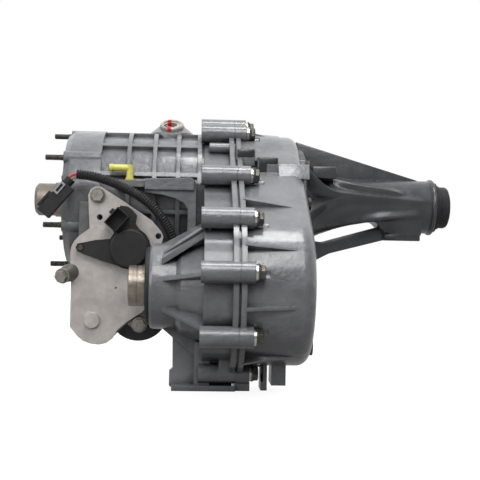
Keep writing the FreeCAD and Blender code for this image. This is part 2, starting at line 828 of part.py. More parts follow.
def extension_cuts():
    """Bore and holes of the tail housing."""
    bore = turned([
        (rear_wall_x - 1.0, 0.0),
        (rear_wall_x - 1.0, 42.0),
        (350.0, 38.0),
        (400.0, 24.0),
        (436.0, tail_shaft_r + 1.0),
        (452.0, yoke_r + 1.5),
        (bushing_x, yoke_r + 1.5),
        (bushing_x, bushing_r + running_gap),
        (tail_end_x - 14.0, bushing_r + running_gap),
        (tail_end_x - 14.0, tail_seal_r + running_gap),
        (tail_end_x + 1.0, tail_seal_r + running_gap),
        (tail_end_x + 1.0, 0.0),
    ])
    tools = [bore, y_cyl(8.0 + running_gap, 20.0, 70.0, tone_x + 5.0, 0.0)]
    for y, z in tail_bolt_points():
        tools.append(x_cyl(4.0 + running_gap, rear_wall_x - 1.0, rear_wall_x + 10.0, y, z))
    for y in (-pad_hole_y, pad_hole_y):
        tools.append(z_cyl(pad_hole_r, -pad_drop - 1.0, 17.5 - pad_drop, pad_x, y))
    return tools


def input_gear():
    """Input shaft with its hollow stub, bearing seat and sun gear."""
    seat_start = front_wall - input_bearing_width - 2.0
    shaft = turned([
        (input_stub_x, 0.0),
        (input_stub_x, input_stub_r - 4.0),
        (input_stub_x + 4.0, input_stub_r),
        (-20.0, input_stub_r),
        (-20.0, input_seat_r),
        (seat_start, input_seat_r),
        (seat_start, input_bearing_bore / 2.0),
        (front_wall - 2.0 + seat_gap, input_bearing_bore / 2.0),
        (front_wall - 2.0 + seat_gap, 32.0),
        (front_wall + 4.0, 32.0),
        (front_wall + 4.0, 29.0),
        (gear_x + 1.0, 29.0),
        (gear_x + 1.0, 0.0),
    ])
    sun = x_gear(sun_teeth, gear_module, gear_x, gear_x + gear_width, phase=0.0)
    dog_start = gear_x + gear_width - dog_width
    dog_space = x_prism(dog_outline(True), dog_start, gear_x + gear_width + 1.0)
    socket = x_cyl(shaft_bore_r, input_stub_x - 1.0, input_stub_x + shaft_bore_length)
    pilot = x_cyl(pilot_r + running_gap, pilot_start - 2.0, dog_start)
    relief = x_cyl(main_shaft_r + 2.0, dog_start - 4.0, dog_start + 1.0)
    spline = x_gear(20, 1.4, input_stub_x + shaft_bore_length - 1.0, input_stub_x + shaft_bore_length + 18.0)
    return joined([shaft, sun]).cut([socket, pilot, relief, dog_space, spline])


def dog_outline(internal):
    """Outline of the range dogs as (y, z), the internal one a little larger."""
    if internal:
        return gear_outline(dog_teeth, dog_module, 0.6, 0.3, 0.5)
    return gear_outline(dog_teeth, dog_module, 0.4, 0.5, 0.42)


def mode_outline(internal):
    """Outline of the mode clutch splines as (y, z), the internal one a little larger."""
    if internal:
        return gear_outline(mode_teeth, mode_module, 0.6, 0.3, 0.5)
    return gear_outline(mode_teeth, mode_module, 0.4, 0.5, 0.42)


def annulus_gear():
    """Internal ring gear held in the barrel."""
    ring = x_cyl(ring_outer_r, gear_x - 2.0, gear_x + gear_width + 2.0)
    space = gear_outline(ring_teeth, gear_module, 1.15, 0.8, 0.58, 180.0 / ring_teeth)
    return ring.cut(x_prism(space, gear_x - 3.0, gear_x + gear_width + 3.0))


def planet_place(index):
    """Centre of one planet gear, with its angle."""
    angle = 360.0 / planet_count * index
    radius = gear_module * (sun_teeth + planet_teeth) / 2.0
    y, z = polar(radius, angle)
    return y, z, angle


def planet_gear(index):
    """Planet gear running on its carrier pin."""
    y, z, angle = planet_place(index)
    phase = angle + 180.0 / planet_teeth
    gear = x_gear(planet_teeth, gear_module, gear_x + 0.5, gear_x + gear_width - 0.5, y, z, phase)
    return gear.cut(x_cyl(planet_pin_r + running_gap, gear_x, gear_x + gear_width, y, z))


def planet_carrier():
    """Carrier with its two plates, pins, pillars and low-range dog ring."""
    rim = gear_module * ring_teeth / 2.0 - 3.0
    front = x_ring(rim, 33.0, gear_x - 9.0, gear_x - 9.0 + carrier_plate)
    rear_start = gear_x + gear_width + 3.0
    rear = x_ring(rim, main_shaft_r + 8.6, rear_start, rear_start + carrier_plate)
    cone = x_ring(38.0, main_shaft_r + 8.6, rear_start, low_dog_x + dog_width)
    dogs = x_cyl(34.0, low_dog_x, low_dog_x + dog_width)
    dogs = dogs.cut(x_prism(dog_outline(True), low_dog_x - 1.0, low_dog_x + dog_width + 1.0))
    parts = [front, rear, cone, dogs]
    for i in range(planet_count):
        y, z, angle = planet_place(i)
        parts.append(x_cyl(planet_pin_r, gear_x - 9.0, rear_start + carrier_plate + 1.0, y, z))
        pillar = block(gear_x - 4.0, rear_start + 1.0, -6.0, 6.0, 42.5, rim)
        pillar.rotate(V(0, 0, 0), V(1, 0, 0), angle + 180.0 / planet_count - 90.0)
        parts.append(pillar)
    return joined(parts)


def range_sleeve():
    """Sliding sleeve whose front dogs engage the sun gear or the carrier."""
    tube = x_cyl(dog_root_r(), high_dog_x, high_dog_x + sleeve_length)
    dogs = x_prism(dog_outline(False), high_dog_x, high_dog_x + dog_width - 0.5)
    parts = [tube, dogs]
    for start in (fork_x - collar_width, fork_x + fork_thick + 2.0 * seat_gap):
        parts.append(x_cyl(sleeve_r, start, start + collar_width))
    return joined(parts).cut(x_cyl(main_shaft_r + running_gap, high_dog_x - 1.0, high_dog_x + sleeve_length + 1.0))


def dog_root_r():
    """Root radius of the range dogs."""
    return dog_module * (dog_teeth / 2.0 - 0.5)


def main_shaft():
    """Main shaft from the pilot bearing to the tail splines."""
    bearing_end = rear_wall_x - 4.0
    shaft = turned([
        (pilot_start, 0.0),
        (pilot_start, pilot_r - 1.0),
        (pilot_start + 1.0, pilot_r),
        (high_dog_x - 2.0, pilot_r),
        (high_dog_x - 2.0, main_shaft_r),
        (bearing_end, main_shaft_r),
        (bearing_end, tail_shaft_r),
        (tail_shaft_end - 2.0, tail_shaft_r),
        (tail_shaft_end, tail_shaft_r - 2.0),
        (tail_shaft_end, 0.0),
    ])
    spline = gear_outline(24, tail_shaft_r / 12.0, 0.0, 1.4, 0.6)
    cut_ring = x_cyl(tail_shaft_r + 1.0, tail_shaft_end - 62.0, tail_shaft_end + 1.0)
    cut_ring = cut_ring.cut(x_prism(spline, tail_shaft_end - 63.0, tail_shaft_end + 2.0))
    return shaft.cut(cut_ring)


def mode_hub():
    """Splined hub of the mode clutch, fixed to the main shaft."""
    hub = x_prism(mode_outline(False), mode_hub_x, mode_hub_x + mode_hub_width)
    return hub.cut(x_cyl(main_shaft_r + 0.02, mode_hub_x - 1.0, mode_hub_x + 20.0))


def mode_sleeve():
    """Sliding sleeve of the mode clutch."""
    parts = [x_cyl(mode_sleeve_r, mode_hub_x, mode_hub_x + mode_sleeve_length)]
    groove = mode_fork_x
    for start in (groove - collar_width, groove + fork_thick + 2.0 * seat_gap):
        parts.append(x_cyl(mode_sleeve_r + 4.5, start, start + collar_width))
    return joined(parts).cut(x_prism(mode_outline(True), mode_hub_x - 1.0, mode_hub_x + 30.0))


def sprocket_outline(y, z):
    """Sprocket outline whose teeth stand between the pins of the wrapped chain."""
    pitch_r = sprocket_pitch_r()
    first = span_normal(True) + 180.0 / sprocket_teeth
    outline = []
    for i in range(sprocket_teeth):
        middle = math.radians(first + 360.0 / sprocket_teeth * i)
        for radius, half in ((pitch_r - 5.0, -3.0), (pitch_r - 2.4, -0.4), (pitch_r - 2.4, 0.4), (pitch_r - 5.0, 3.0)):
            angle = middle + half / radius
            outline.append((y + radius * math.cos(angle), z + radius * math.sin(angle)))
    return outline


def sprocket_pitch_r():
    """Pitch radius of both sprockets."""
    return chain_pitch / 2.0 / math.sin(math.pi / sprocket_teeth)


def chain_start_x():
    """Front edge of the chain."""
    return chain_x - chain_width / 2.0


def drive_sprocket():
    """Upper sprocket, free on the main shaft, with its clutch teeth."""
    start = chain_start_x()
    body = x_prism(sprocket_outline(0.0, 0.0), start, start + chain_width)
    hub = x_cyl(31.0, clutch_x, start + chain_width + 2.0)
    teeth = x_prism(mode_outline(False), clutch_x, clutch_x + clutch_width)
    whole = joined([body, hub, teeth])
    groove = x_ring(46.0, 36.0, start - 1.0, start + 6.0)
    bore = x_cyl(main_shaft_r + running_gap, clutch_x - 1.0, start + chain_width + 3.0)
    return whole.cut([groove, bore])


def driven_sprocket():
    """Lower sprocket, splined to the front output shaft."""
    start = chain_start_x()
    body = x_prism(sprocket_outline(front_axis_y, front_axis_z), start, start + chain_width)
    hub = x_cyl(32.0, start - 4.0, start + chain_width + 4.0, front_axis_y, front_axis_z)
    bore = x_cyl(driven_seat_r + 0.02, start - 5.0, start + chain_width + 5.0, front_axis_y, front_axis_z)
    web_front = x_ring(45.0, 36.0, start - 1.0, start + 9.0, front_axis_y, front_axis_z)
    web_rear = x_ring(45.0, 36.0, start + chain_width - 9.0, start + chain_width + 1.0, front_axis_y, front_axis_z)
    return joined([body, hub]).cut([bore, web_front, web_rear])


def chain_pins():
    """Pins of the chain in order, as (y, z), round both sprockets."""
    radius = sprocket_pitch_r()
    first = span_normal(True)
    step = 360.0 / sprocket_teeth
    half = sprocket_teeth // 2
    pins = []
    top_y, top_z = polar(radius, first)
    low_y, low_z = polar(radius, first + 180.0)
    for i in range(centre_pitches):
        share = i / centre_pitches
        pins.append((top_y + front_axis_y * share, top_z + front_axis_z * share))
    for i in range(half):
        pins.append(polar(radius, first + step * i, front_axis_y, front_axis_z))
    for i in range(centre_pitches):
        share = 1.0 - i / centre_pitches
        pins.append((low_y + front_axis_y * share, low_z + front_axis_z * share))
    for i in range(half):
        pins.append(polar(radius, first + 180.0 + step * i))
    return pins


def drive_chain():
    """Silent chain of link plates, inner and outer in turn."""
    pins = chain_pins()
    links = []
    half = chain_pitch / 2.0
    outline = [(-half - 2.2, 3.0), (half + 2.2, 3.0), (half + 1.0, -4.2), (half - 1.2, -4.2), (0.0, -1.2),
               (1.2 - half, -4.2), (-half - 1.0, -4.2)]
    start = chain_start_x()
    third = chain_width / 3.0
    inner = [(start + third, start + 2.0 * third)]
    outer = [(start, start + third - 0.2), (start + 2.0 * third + 0.2, start + chain_width)]
    for i, pin in enumerate(pins):
        after = pins[(i + 1) % len(pins)]
        along = V(0, after[0] - pin[0], after[1] - pin[1]).normalize()
        out = V(1, 0, 0).cross(along) * -1.0
        middle = V(0, (pin[0] + after[0]) / 2.0, (pin[1] + after[1]) / 2.0)
        flat = [middle + along * u + out * w for u, w in outline]
        for x_start, x_end in (inner if i % 2 else outer):
            links.append(x_prism([(p.y, p.z) for p in flat], x_start, x_end))
    return group(links)


def front_output_shaft():
    """Front output shaft with its grooved, hollow outer end."""
    nest = collar_face_x
    shaft = turned([
        (front_shaft_end_x, 0.0),
        (front_shaft_end_x, front_shaft_r - 1.0),
        (front_shaft_end_x + 1.0, front_shaft_r),
        (front_groove_x, front_shaft_r),
        (front_groove_x, front_shaft_r - 1.2),
        (front_groove_x + 1.4, front_shaft_r - 1.2),
        (front_groove_x + 1.4, front_shaft_r),
        (nest + 3.0, front_shaft_r),
        (nest + 3.0, front_bearing_bore / 2.0),
        (nest + 6.0 + front_bearing_width, front_bearing_bore / 2.0),
        (nest + 6.0 + front_bearing_width, 27.5),
        (nest + 32.0, 27.5),
        (nest + 40.0, driven_seat_r),
        (chain_start_x() + chain_width + 6.0, driven_seat_r),
        (chain_start_x() + chain_width + 6.0, pocket_bearing_bore / 2.0),
        (rear_wall_x - 4.0, pocket_bearing_bore / 2.0),
        (rear_wall_x - 4.0, 0.0),
    ], front_axis_y, front_axis_z)
    socket = x_cyl(shaft_bore_r, front_shaft_end_x - 1.0, front_shaft_end_x + shaft_bore_length,
                   front_axis_y, front_axis_z)
    spline = x_gear(20, 1.4, front_shaft_end_x + shaft_bore_length - 1.0, front_shaft_end_x + shaft_bore_length + 18.0,
                    front_axis_y, front_axis_z)
    return shaft.cut([socket, spline])


def front_output_slinger():
    """Dark seal and dirt slinger at the mouth of the output collar."""
    return turned([
        (collar_face_x - 5.0, front_shaft_r + 0.02),
        (collar_face_x - 5.0, collar_r - 7.0),
        (collar_face_x - 3.0, collar_r - 5.0),
        (collar_face_x - seat_gap, collar_r - 5.0),
        (collar_face_x - seat_gap, front_bearing_od / 2.0 - 1.0),
        (collar_face_x + 3.0, front_bearing_od / 2.0 - 1.0),
        (collar_face_x + 3.0, front_shaft_r + 0.02),
    ], front_axis_y, front_axis_z)


def input_seal():
    """Lip seal in the input nose."""
    start = 1.0 - nose_length
    return turned([
        (start, input_seat_r + running_gap),
        (start, seal_r),
        (0.5, seal_r),
        (0.5, seal_r - 4.0),
        (start + 2.5, seal_r - 4.0),
        (start + 2.5, input_seat_r + running_gap),
    ])


def fork(rail_hub, blade_x, sleeve_groove_r, width):
    """Shift fork with a hub on the rail and a blade in the sleeve groove."""
    hub = x_cyl(rail_r + 5.0, rail_hub[0], rail_hub[1], rail_y, rail_z)
    blade_end = blade_x + fork_thick
    blade = x_ring(sleeve_groove_r + width, sleeve_groove_r + 0.4, blade_x, blade_end)
    toward = math.degrees(math.atan2(rail_z, rail_y))
    half = block(blade_x - 1.0, blade_end + 1.0, -90.0, 90.0, -1.0, 90.0)
    half.rotate(V(0, 0, 0), V(1, 0, 0), toward - 90.0)
    arm = block(blade_x, blade_end, -9.0, 9.0, sleeve_groove_r + width - 3.0, math.hypot(rail_y, rail_z) - rail_r)
    arm.rotate(V(0, 0, 0), V(1, 0, 0), toward - 90.0)
    return [hub, blade.common(half), arm]


def cam_pin(x, y_end):
    """Pin of a fork that runs in a slot of the sector."""
    return y_cyl(shift_pin_r, cam_y - cam_plate + 0.5, y_end, x, sector_z)


def range_fork():
    """Fork that moves the range sleeve, with its arm to the sector."""
    pin_x = sector_x - range_pin_r
    arm_start = fork_x - 16.0
    arm_end = fork_x - 4.0
    parts = fork((fork_x - 12.0, fork_x + 9.0), fork_x + seat_gap, dog_root_r(), 9.0)
    parts.append(block(arm_start, arm_end, -72.0, rail_y - 8.0, sector_z - 4.0, sector_z + 6.0))
    parts.append(block(pin_x - 4.0, arm_end, -73.0, -68.0, sector_z - 4.0, sector_z + 4.0))
    parts.append(cam_pin(pin_x, -70.0))
    return joined(parts).cut(x_cyl(rail_r + running_gap, 60.0, 200.0, rail_y, rail_z))


def mode_fork():
    """Fork that moves the mode sleeve, with its long arm to the sector."""
    pin_x = sector_x + mode_pin_r
    parts = fork((mode_fork_x - 4.0, mode_fork_x + 14.0), mode_fork_x + seat_gap, mode_sleeve_r, 6.0)
    parts.append(block(pin_x - 3.0, mode_fork_x + 8.0, -62.0, -56.0, -56.0, -50.0))
    parts.append(block(mode_fork_x - 4.0, mode_fork_x + 8.0, -62.0, rail_y - 8.0, -60.0, -50.0))
    parts.append(block(pin_x - 3.0, pin_x + 3.0, -77.5, -56.0, -56.0, -50.0))
    parts.append(block(pin_x - 3.0, pin_x + 3.0, -77.5, -74.0, sector_z - 4.0, -50.0))
    parts.append(cam_pin(pin_x, -75.0))
    return joined(parts).cut(x_cyl(rail_r + running_gap, 150.0, 260.0, rail_y, rail_z))


def shift_rail():
    """Rail that both forks slide on."""
    return x_cyl(rail_r, 78.5, rail_end_x - seat_gap, rail_y, rail_z)


def cam_slot(start_r, travel, start_angle):
    """Slot of constant lead that moves a pin along the line through the sector."""
    steps = 12
    half = shift_pin_r + slot_gap
    rate = travel / math.radians(cam_turn)
    left = []
    right = []
    ends = []
    for i in range(steps + 1):
        turn = math.radians(cam_turn * i / steps)
        radius = start_r + rate * turn
        angle = math.radians(start_angle) + turn
        x = sector_x + radius * math.cos(angle)
        z = sector_z + radius * math.sin(angle)
        along_x = rate * math.cos(angle) - radius * math.sin(angle)
        along_z = rate * math.sin(angle) + radius * math.cos(angle)
        length = math.hypot(along_x, along_z)
        side_x = -along_z / length * half
        side_z = along_x / length * half
        left.append((x + side_x, z + side_z))
        right.append((x - side_x, z - side_z))
        ends.append((x, z))
    low = cam_y - cam_plate - 1.0
    high = cam_y + 1.0
    tools = [y_prism(left + right[::-1], low, high)]
    for x, z in (ends[0], ends[-1]):
        tools.append(y_cyl(half, low, high, x, z))
    return joined(tools)


def sector_plate():
    """Cam plate with the two slots that drive the forks."""
    plate = y_cyl(cam_plate_r, cam_y - cam_plate, cam_y, sector_x, sector_z)
    hub = y_cyl(10.5, cam_y - cam_plate - 5.0, cam_y, sector_x, sector_z)
    bore = y_cyl(sector_shaft_r + 0.02, cam_y - 20.0, cam_y + 5.0, sector_x, sector_z)
    slots = [cam_slot(range_pin_r, -range_travel, 180.0), cam_slot(mode_pin_r, mode_travel, 0.0)]
    return joined([plate, hub]).cut([bore] + slots)


def sector_shaft():
    """Shaft from the sector plate out to the shift gearbox."""
    return y_cyl(sector_shaft_r, plate_y - plate_thick - 3.0, cam_y + 1.5, sector_x, sector_z)


def sector_bush():
    """Bush of the sector shaft in the tower wall."""
    bush = y_cyl(sector_bush_r, gearbox_back_y() + 1.0, gearbox_back_y() + 9.0, sector_x, sector_z)
    return bush.cut(y_cyl(sector_shaft_r + running_gap, plate_y, cam_y, sector_x, sector_z))


def pump_x():
    """Front face of the oil pump, which seats on the rear bearing boss."""
    return rear_wall_x - 22.0 - seat_gap - 12.0


def oil_pump():
    """Closed gear pump on the main shaft."""
    body = x_cyl(46.0, pump_x(), pump_x() + 12.0)
    return body.cut(x_cyl(main_shaft_r + 0.4, pump_x() - 1.0, pump_x() + 13.0))


def pickup_tube():
    """Suction tube from the pump down to the sump screen."""
    x = pump_x() + 6.0
    top = V(x, -37.1, -27.8)
    bend = V(x, -130.0, -97.5)
    low = V(x, -138.0, -170.0)
    tube = pipe(rounded_wire([top, bend, low])[0], 4.5)
    screen = block(x - 8.0, x + 8.0, -158.0, -122.0, -178.0, -169.0)
    return joined([tube, screen])


def rounded_wire(points):
    """Wire of straight runs and tangent arcs, with its length and radii."""
    edges = []
    radii = []
    last = points[0]
    for i in range(1, len(points) - 1):
        before = points[i - 1] - points[i]
        after = points[i + 1] - points[i]
        shorter = min(before.Length, after.Length)
        before.normalize()
        after.normalize()
        turn = math.pi - before.getAngle(after)
        back = 0.45 * shorter
        radius = back / math.tan(turn / 2.0)
        start = points[i] + before * back
        end = points[i] + after * back
        toward = (before + after).normalize()
        centre = points[i] + toward * (radius / math.cos(turn / 2.0))
        middle = centre - toward * radius
        edges.append(Part.LineSegment(last, start).toShape())
        edges.append(Part.Arc(start, middle, end).toShape())
        radii.append(radius)
        last = end
    edges.append(Part.LineSegment(last, points[-1]).toShape())
    return Part.Wire(edges), radii


def pipe(wire, radius):
    """Round bar along a wire."""
    first = wire.OrderedEdges[0]
    start = first.valueAt(first.FirstParameter)
    along = first.tangentAt(first.FirstParameter)
    ring = Part.Wire(Part.makeCircle(radius, start, along))
    return wire.makePipeShell([ring], True, False)


def tone_wheel():
    """Toothed ring that the speed sensor reads."""
    ring = x_gear(20, 3.4, tone_x, tone_x + 9.0, tip=0.0, root=1.0)
    return ring.cut(x_cyl(tail_shaft_r + 0.02, tone_x - 1.0, tone_x + 10.0))


def speed_sensor():
    """Speed sensor in the right side of the tail housing."""
    x = tone_x + 5.0
    seat = 66.0 + 0.02
    probe = y_cyl(8.0, 36.0, 70.0, x, 0.0)
    head = y_cyl(12.0, seat, 78.0, x, 0.0)
    ear = block(x + 4.0, x + 19.0, seat, 72.0, -7.0, 7.0)
    tip = y_cyl(7.0, seat, 72.0, x + 19.0, 0.0)
    plug = block(x - 8.0, x + 8.0, 77.0, 92.0, -7.0, 7.0)
    return joined([probe, head, ear, tip, plug])


def rear_seal():
    """Output seal pressed in the tail end, with its outer flange."""
    return turned([
        (tail_end_x - 10.0, yoke_r + 0.4),
        (tail_end_x - 10.0, tail_seal_r),
        (tail_end_x + 0.02, tail_seal_r),
        (tail_end_x + 0.02, 36.0),
        (tail_end_x + 4.5, 36.0),
        (tail_end_x + 6.0, 33.0),
        (tail_end_x + 6.0, yoke_r + 0.4),
    ])


def dust_boot():
    """Black ribbed dust boot on the rear seal."""
    start = tail_end_x + 6.0 + 0.02
    return turned([
        (start, yoke_r + 0.8),
        (start, boot_r + 1.5),
        (start + 3.5, boot_r + 1.5),
        (start + 4.5, boot_r),
        (boot_end_x - 4.0, boot_r),
        (boot_end_x - 1.2, boot_r - 1.5),
        (boot_end_x, boot_r - 4.5),
        (boot_end_x, yoke_r + 0.8),
    ])


def tail_bushing():
    """Plain bush that the slip yoke runs in."""
    return x_ring(bushing_r, yoke_r, bushing_x + 1.0, tail_end_x - 15.0)


def adapter_studs():
    """Studs of the front mounting face."""
    studs = []
    for y, z in stud_points():
        studs.append(turned([
            (-stud_out, 0.0),
            (-stud_out, stud_d / 2.0 - 0.8),
            (0.8 - stud_out, stud_d / 2.0),
            (0.0, stud_d / 2.0),
            (0.0, stud_d / 2.0 - stud_step),
            (stud_depth - 1.0, stud_d / 2.0 - stud_step),
            (stud_depth - 1.0, 0.0),
        ], y, z))
    return group(studs)


def case_bolts():
    """Flange bolts of the parting joint."""
    seat = split_x + boss_rear + washer_thick
    bolts = [flange_bolt(seat, y, z, V(1, 0, 0), case_bolt_d, boss_rear + 30.0) for y, z in case_bolt_points()]
    return group(bolts)


def case_washers():
    """Washers under the parting bolts."""
    start = split_x + boss_rear
    return group([x_ring(10.0, case_bolt_d / 2.0 + 0.2, start, start + washer_thick, y, z)
                  for y, z in case_bolt_points()])


def tail_bolts():
    """Flange bolts of the tail housing."""
    seat = rear_wall_x + 9.0
    bolts = [flange_bolt(seat, y, z, V(1, 0, 0), 8.0, 20.0) for y, z in tail_bolt_points()]
    return group(bolts)


def left_bolt_way():
    """Direction of the left motor bolt, which leans forward off the cover."""
    return V(-0.356, -0.916, -0.194).normalize()


def left_bolt_base():
    """Point on the front of the cover where the left motor bolt stands."""
    x, z = motor_bolt_places()[1]
    return V(x, plate_y - plate_thick, z)


def motor_bolts():
    """Flange bolts of the shift motor."""
    seat = plate_y - plate_thick
    top, side, low = motor_bolt_places()
    way = left_bolt_way()
    end = left_bolt_base() + way * spacer_length
    return group([
        flange_bolt(top[0], seat + plate_step, top[1], V(0, -1, 0), motor_bolt_d, 26.0),
        flange_bolt(end.x, end.y, end.z, way, motor_bolt_d, spacer_length - 5.0),
        flange_bolt(low[0], plate_y - 5.0, low[1], V(0, -1, 0), motor_bolt_d, 14.0),
    ])


def motor_spacer():
    """Tapered tubular spacer under the left motor bolt, cut flat on the cover."""
    way = left_bolt_way()
    base = left_bolt_base() - way * 12.0
    length = spacer_length + 12.0
    cone = Part.makeCone(13.5, 9.0, length, base, way)
    bore = Part.makeCylinder(motor_bolt_d / 2.0 + running_gap, length + 10.0, base, way)
    seat = plate_y - plate_thick
    return cone.common(block(-60.0, 60.0, seat - 60.0, seat, -160.0, -60.0)).cut(bore)


def fill_plug():
    """Fill plug with its dished face and hexagon socket."""
    neck = z_cyl(16.8, 0.02, 3.6, 0.0, 0.0)
    head = Part.makeCone(16.8, 15.4, 1.6, V(0, 0, 3.6), V(0, 0, 1))
    stem = z_cyl(fill_thread_r, -12.0, 1.0, 0.0, 0.0)
    dish = z_cyl(11.8, 3.8, 8.0, 0.0, 0.0)
    socket = hexagon(14.0, 0.0, 0.0, -6.0, 14.0, V(0, 0, 1))
    return at_fill(joined([head, neck, stem]).cut([dish, socket]))


def drain_plug():
    """Drain plug low on the rear wall."""
    y, z = drain_place()
    head = x_cyl(12.0, rear_wall_x + 0.02, rear_wall_x + 5.0, y, z)
    stem = x_cyl(drain_thread_r, rear_wall_x - 12.0, rear_wall_x + 1.0, y, z)
    return joined([head, stem]).cut(hexagon(10.0, rear_wall_x - 3.0, y, z, 10.0, V(1, 0, 0)))


def vent():
    """Plastic elbow breather."""
    top = 40.0
    stem = z_cyl(4.6, 24.05, top + 4.5, vent_x, vent_y)
    foot = z_cyl(3.4, 12.0, 25.0, vent_x, vent_y)
    arm = x_cyl(4.6, vent_x - 27.0, vent_x, vent_y, top)
    barb = Part.makeCone(4.6, 5.6, 4.0, V(vent_x - 27.0, vent_y, top), V(1, 0, 0))
    collar = z_cyl(5.8, 24.05, 27.0, vent_x, vent_y)
    return joined([stem, foot, arm, barb, collar])


def plate_outline():
    """Outline of the stamped shift cover as (x, z)."""
    return [(39.0, 2.0), (41.5, -41.6), (28.0, -51.5), (22.0, -58.5), (18.4, -66.0), (17.2, -74.0), (19.0, -117.0),
            (18.5, -170.0), (28.0, -182.0), (36.0, -188.4), (46.0, -192.0), (57.0, -193.0), (66.0, -190.8),
            (74.5, -184.4), (80.0, -174.0), (91.7, -163.2), (112.0, -150.0), (120.5, -138.0), (120.5, -88.0),
            (128.0, -66.0), (136.0, -58.0), (138.0, -51.0), (135.0, -43.5), (122.4, -29.5), (99.9, -14.8),
            (80.1, -1.8), (62.0, 9.0), (55.5, 13.5), (48.0, 13.7), (42.0, 10.0)]


def cover_plate():
    """Stamped aluminium cover of the shift gearbox."""
    plate = y_prism(plate_outline(), plate_y - plate_thick, plate_y)
    x, z = motor_bolt_places()[1]
    ear = y_cyl(10.5, plate_y - plate_thick, plate_y, x, z)
    places = [(54.5, -26.5, 3.8), (131.3, -49.8, 3.9), (77.3, -118.4, 1.3), (sector_x, sector_z, sector_shaft_r + 1.0)]
    places.extend([(bolt_x, bolt_z, motor_bolt_d / 2.0 + 0.2) for bolt_x, bolt_z in motor_bolt_places()[:1]])
    holes = [y_cyl(radius, plate_y - 10.0, plate_y + 1.0, hole_x, hole_z) for hole_x, hole_z, radius in places]
    cap = y_cyl(9.8, plate_y - plate_thick - 3.5, plate_y, cap_x, cap_z)
    face = plate_y - plate_thick
    low = y_prism([(35.0, 20.0), (35.0, -41.0), (41.5, -41.6), (49.4, -36.1), (63.4, -43.1), (sensor_x, sensor_z),
                   (145.0, -75.0), (145.0, 20.0)], face - 1.0, face + plate_step)
    return joined([plate, ear, cap]).cut(holes + [low])


def housing_face(outline, y):
    """Flat face of an (x, z) outline."""
    points = [V(x, y, z) for x, z in outline]
    return Part.Face(Part.makePolygon(points + points[:1]))


def housing_outline():
    """Outline of the shift gearbox behind the cover as (x, z)."""
    return [(44.0, -46.0), (57.0, -46.0), (66.0, -38.0), (80.0, -34.0), (100.0, -34.0), (114.0, -43.0), (121.5, -60.0),
            (123.5, -90.0), (123.5, -132.0), (118.5, -142.0), (118.5, -153.0), (112.0, -161.0), (104.0, -164.0),
            (92.0, -165.5), (81.0, -176.0), (74.0, -184.0), (64.0, -189.0), (46.0, -190.0), (36.0, -187.0),
            (28.0, -180.0), (21.0, -169.0), (21.0, -119.0), (36.5, -113.0), (36.5, -88.0), (22.0, -83.0),
            (20.0, -74.0), (25.0, -62.0), (33.0, -53.0)]


def gearbox_housing():
    """Black gearbox behind the cover, open towards it."""
    back = gearbox_back_y()
    outline = housing_face(housing_outline(), plate_y)
    shell = outline.extrude(V(0, back - plate_y, 0))
    inner = outline.makeOffset2D(-housing_wall, join=2)
    inner.translate(V(0, housing_wall, 0))
    hollow = inner.extrude(V(0, back - plate_y - 2.0 * housing_wall, 0))
    mouth = housing_face(plate_outline(), plate_y - 1.0).makeOffset2D(-2.0, join=2)
    inner.translate(V(0, -housing_wall - 1.0, 0))
    opening = inner.extrude(V(0, housing_wall + 2.0, 0)).common(mouth.extrude(V(0, housing_wall + 2.0, 0)))
    low_x, low_z = motor_bolt_places()[2]
    ear = y_cyl(10.0, plate_y - 5.0, back, low_x, low_z)
    web = y_prism([(88.0, -162.0), (104.0, -163.0), (118.0, -163.0), (106.0, -176.0)], plate_y, back)
    whole = shell.cut([hollow, opening]).fuse([ear.cut(hollow), web.cut(hollow)])
    holes = [
        y_cyl(sector_bush_r + 0.5, plate_y, back + 1.0, sector_x, sector_z),
        y_cyl(4.2, plate_y + 10.0, back + 1.0, motor_x, motor_z),
        y_cyl(motor_bolt_d / 2.0 + running_gap, plate_y - 6.0, plate_y + 10.0, low_x, low_z),
    ]
    pin_x, pin_z = idler_place()
    pin = y_cyl(4.0, plate_y + seat_gap, back, pin_x, pin_z)
    return whole.cut(holes).fuse(pin).removeSplitter()


def idler_place():
    """Centre of the idler gear as (x, z)."""
    out_r = train_module * output_teeth / 2.0
    idle_r = train_module * idler_teeth / 2.0
    pin_r = train_module * pinion_teeth / 2.0
    run_x = motor_x - sector_x
    run_z = motor_z - sector_z
    span = math.hypot(run_x, run_z)
    near = (out_r + idle_r) ** 2
    far = (idle_r + pin_r) ** 2
    along = (near - far + span * span) / (2.0 * span)
    side = math.sqrt(max(near - along * along, 0.0))
    return (sector_x + (run_x * along + run_z * side) / span, sector_z + (run_z * along - run_x * side) / span)


def train_phases():
    """Tooth phases of the idler and the pinion, in mesh with the output gear at rest."""
    idle_x, idle_z = idler_place()
    to_idler = math.degrees(math.atan2(idle_z - sector_z, idle_x - sector_x))
    idler_phase = to_idler + 180.0 + 180.0 / idler_teeth
    to_pinion = math.degrees(math.atan2(motor_z - idle_z, motor_x - idle_x))
    ahead = to_pinion - idler_phase
    pinion_phase = to_pinion + 180.0 + ahead * idler_teeth / pinion_teeth + 180.0 / pinion_teeth
    return to_idler, idler_phase, pinion_phase


def output_gear():
    """Gear on the sector shaft."""
    phase = train_phases()[0]
    gear = y_gear(output_teeth, train_module, train_y, train_y + train_width, sector_x, sector_z, phase)
    return gear.cut(y_cyl(sector_shaft_r + 0.02, train_y - 1.0, train_y + 12.0, sector_x, sector_z))


def idler_gear():
    """Idler between the motor pinion and the sector."""
    x, z = idler_place()
    gear = y_gear(idler_teeth, train_module, train_y, train_y + train_width, x, z, train_phases()[1])
    return gear.cut(y_cyl(4.0 + running_gap, train_y - 1.0, train_y + 12.0, x, z))


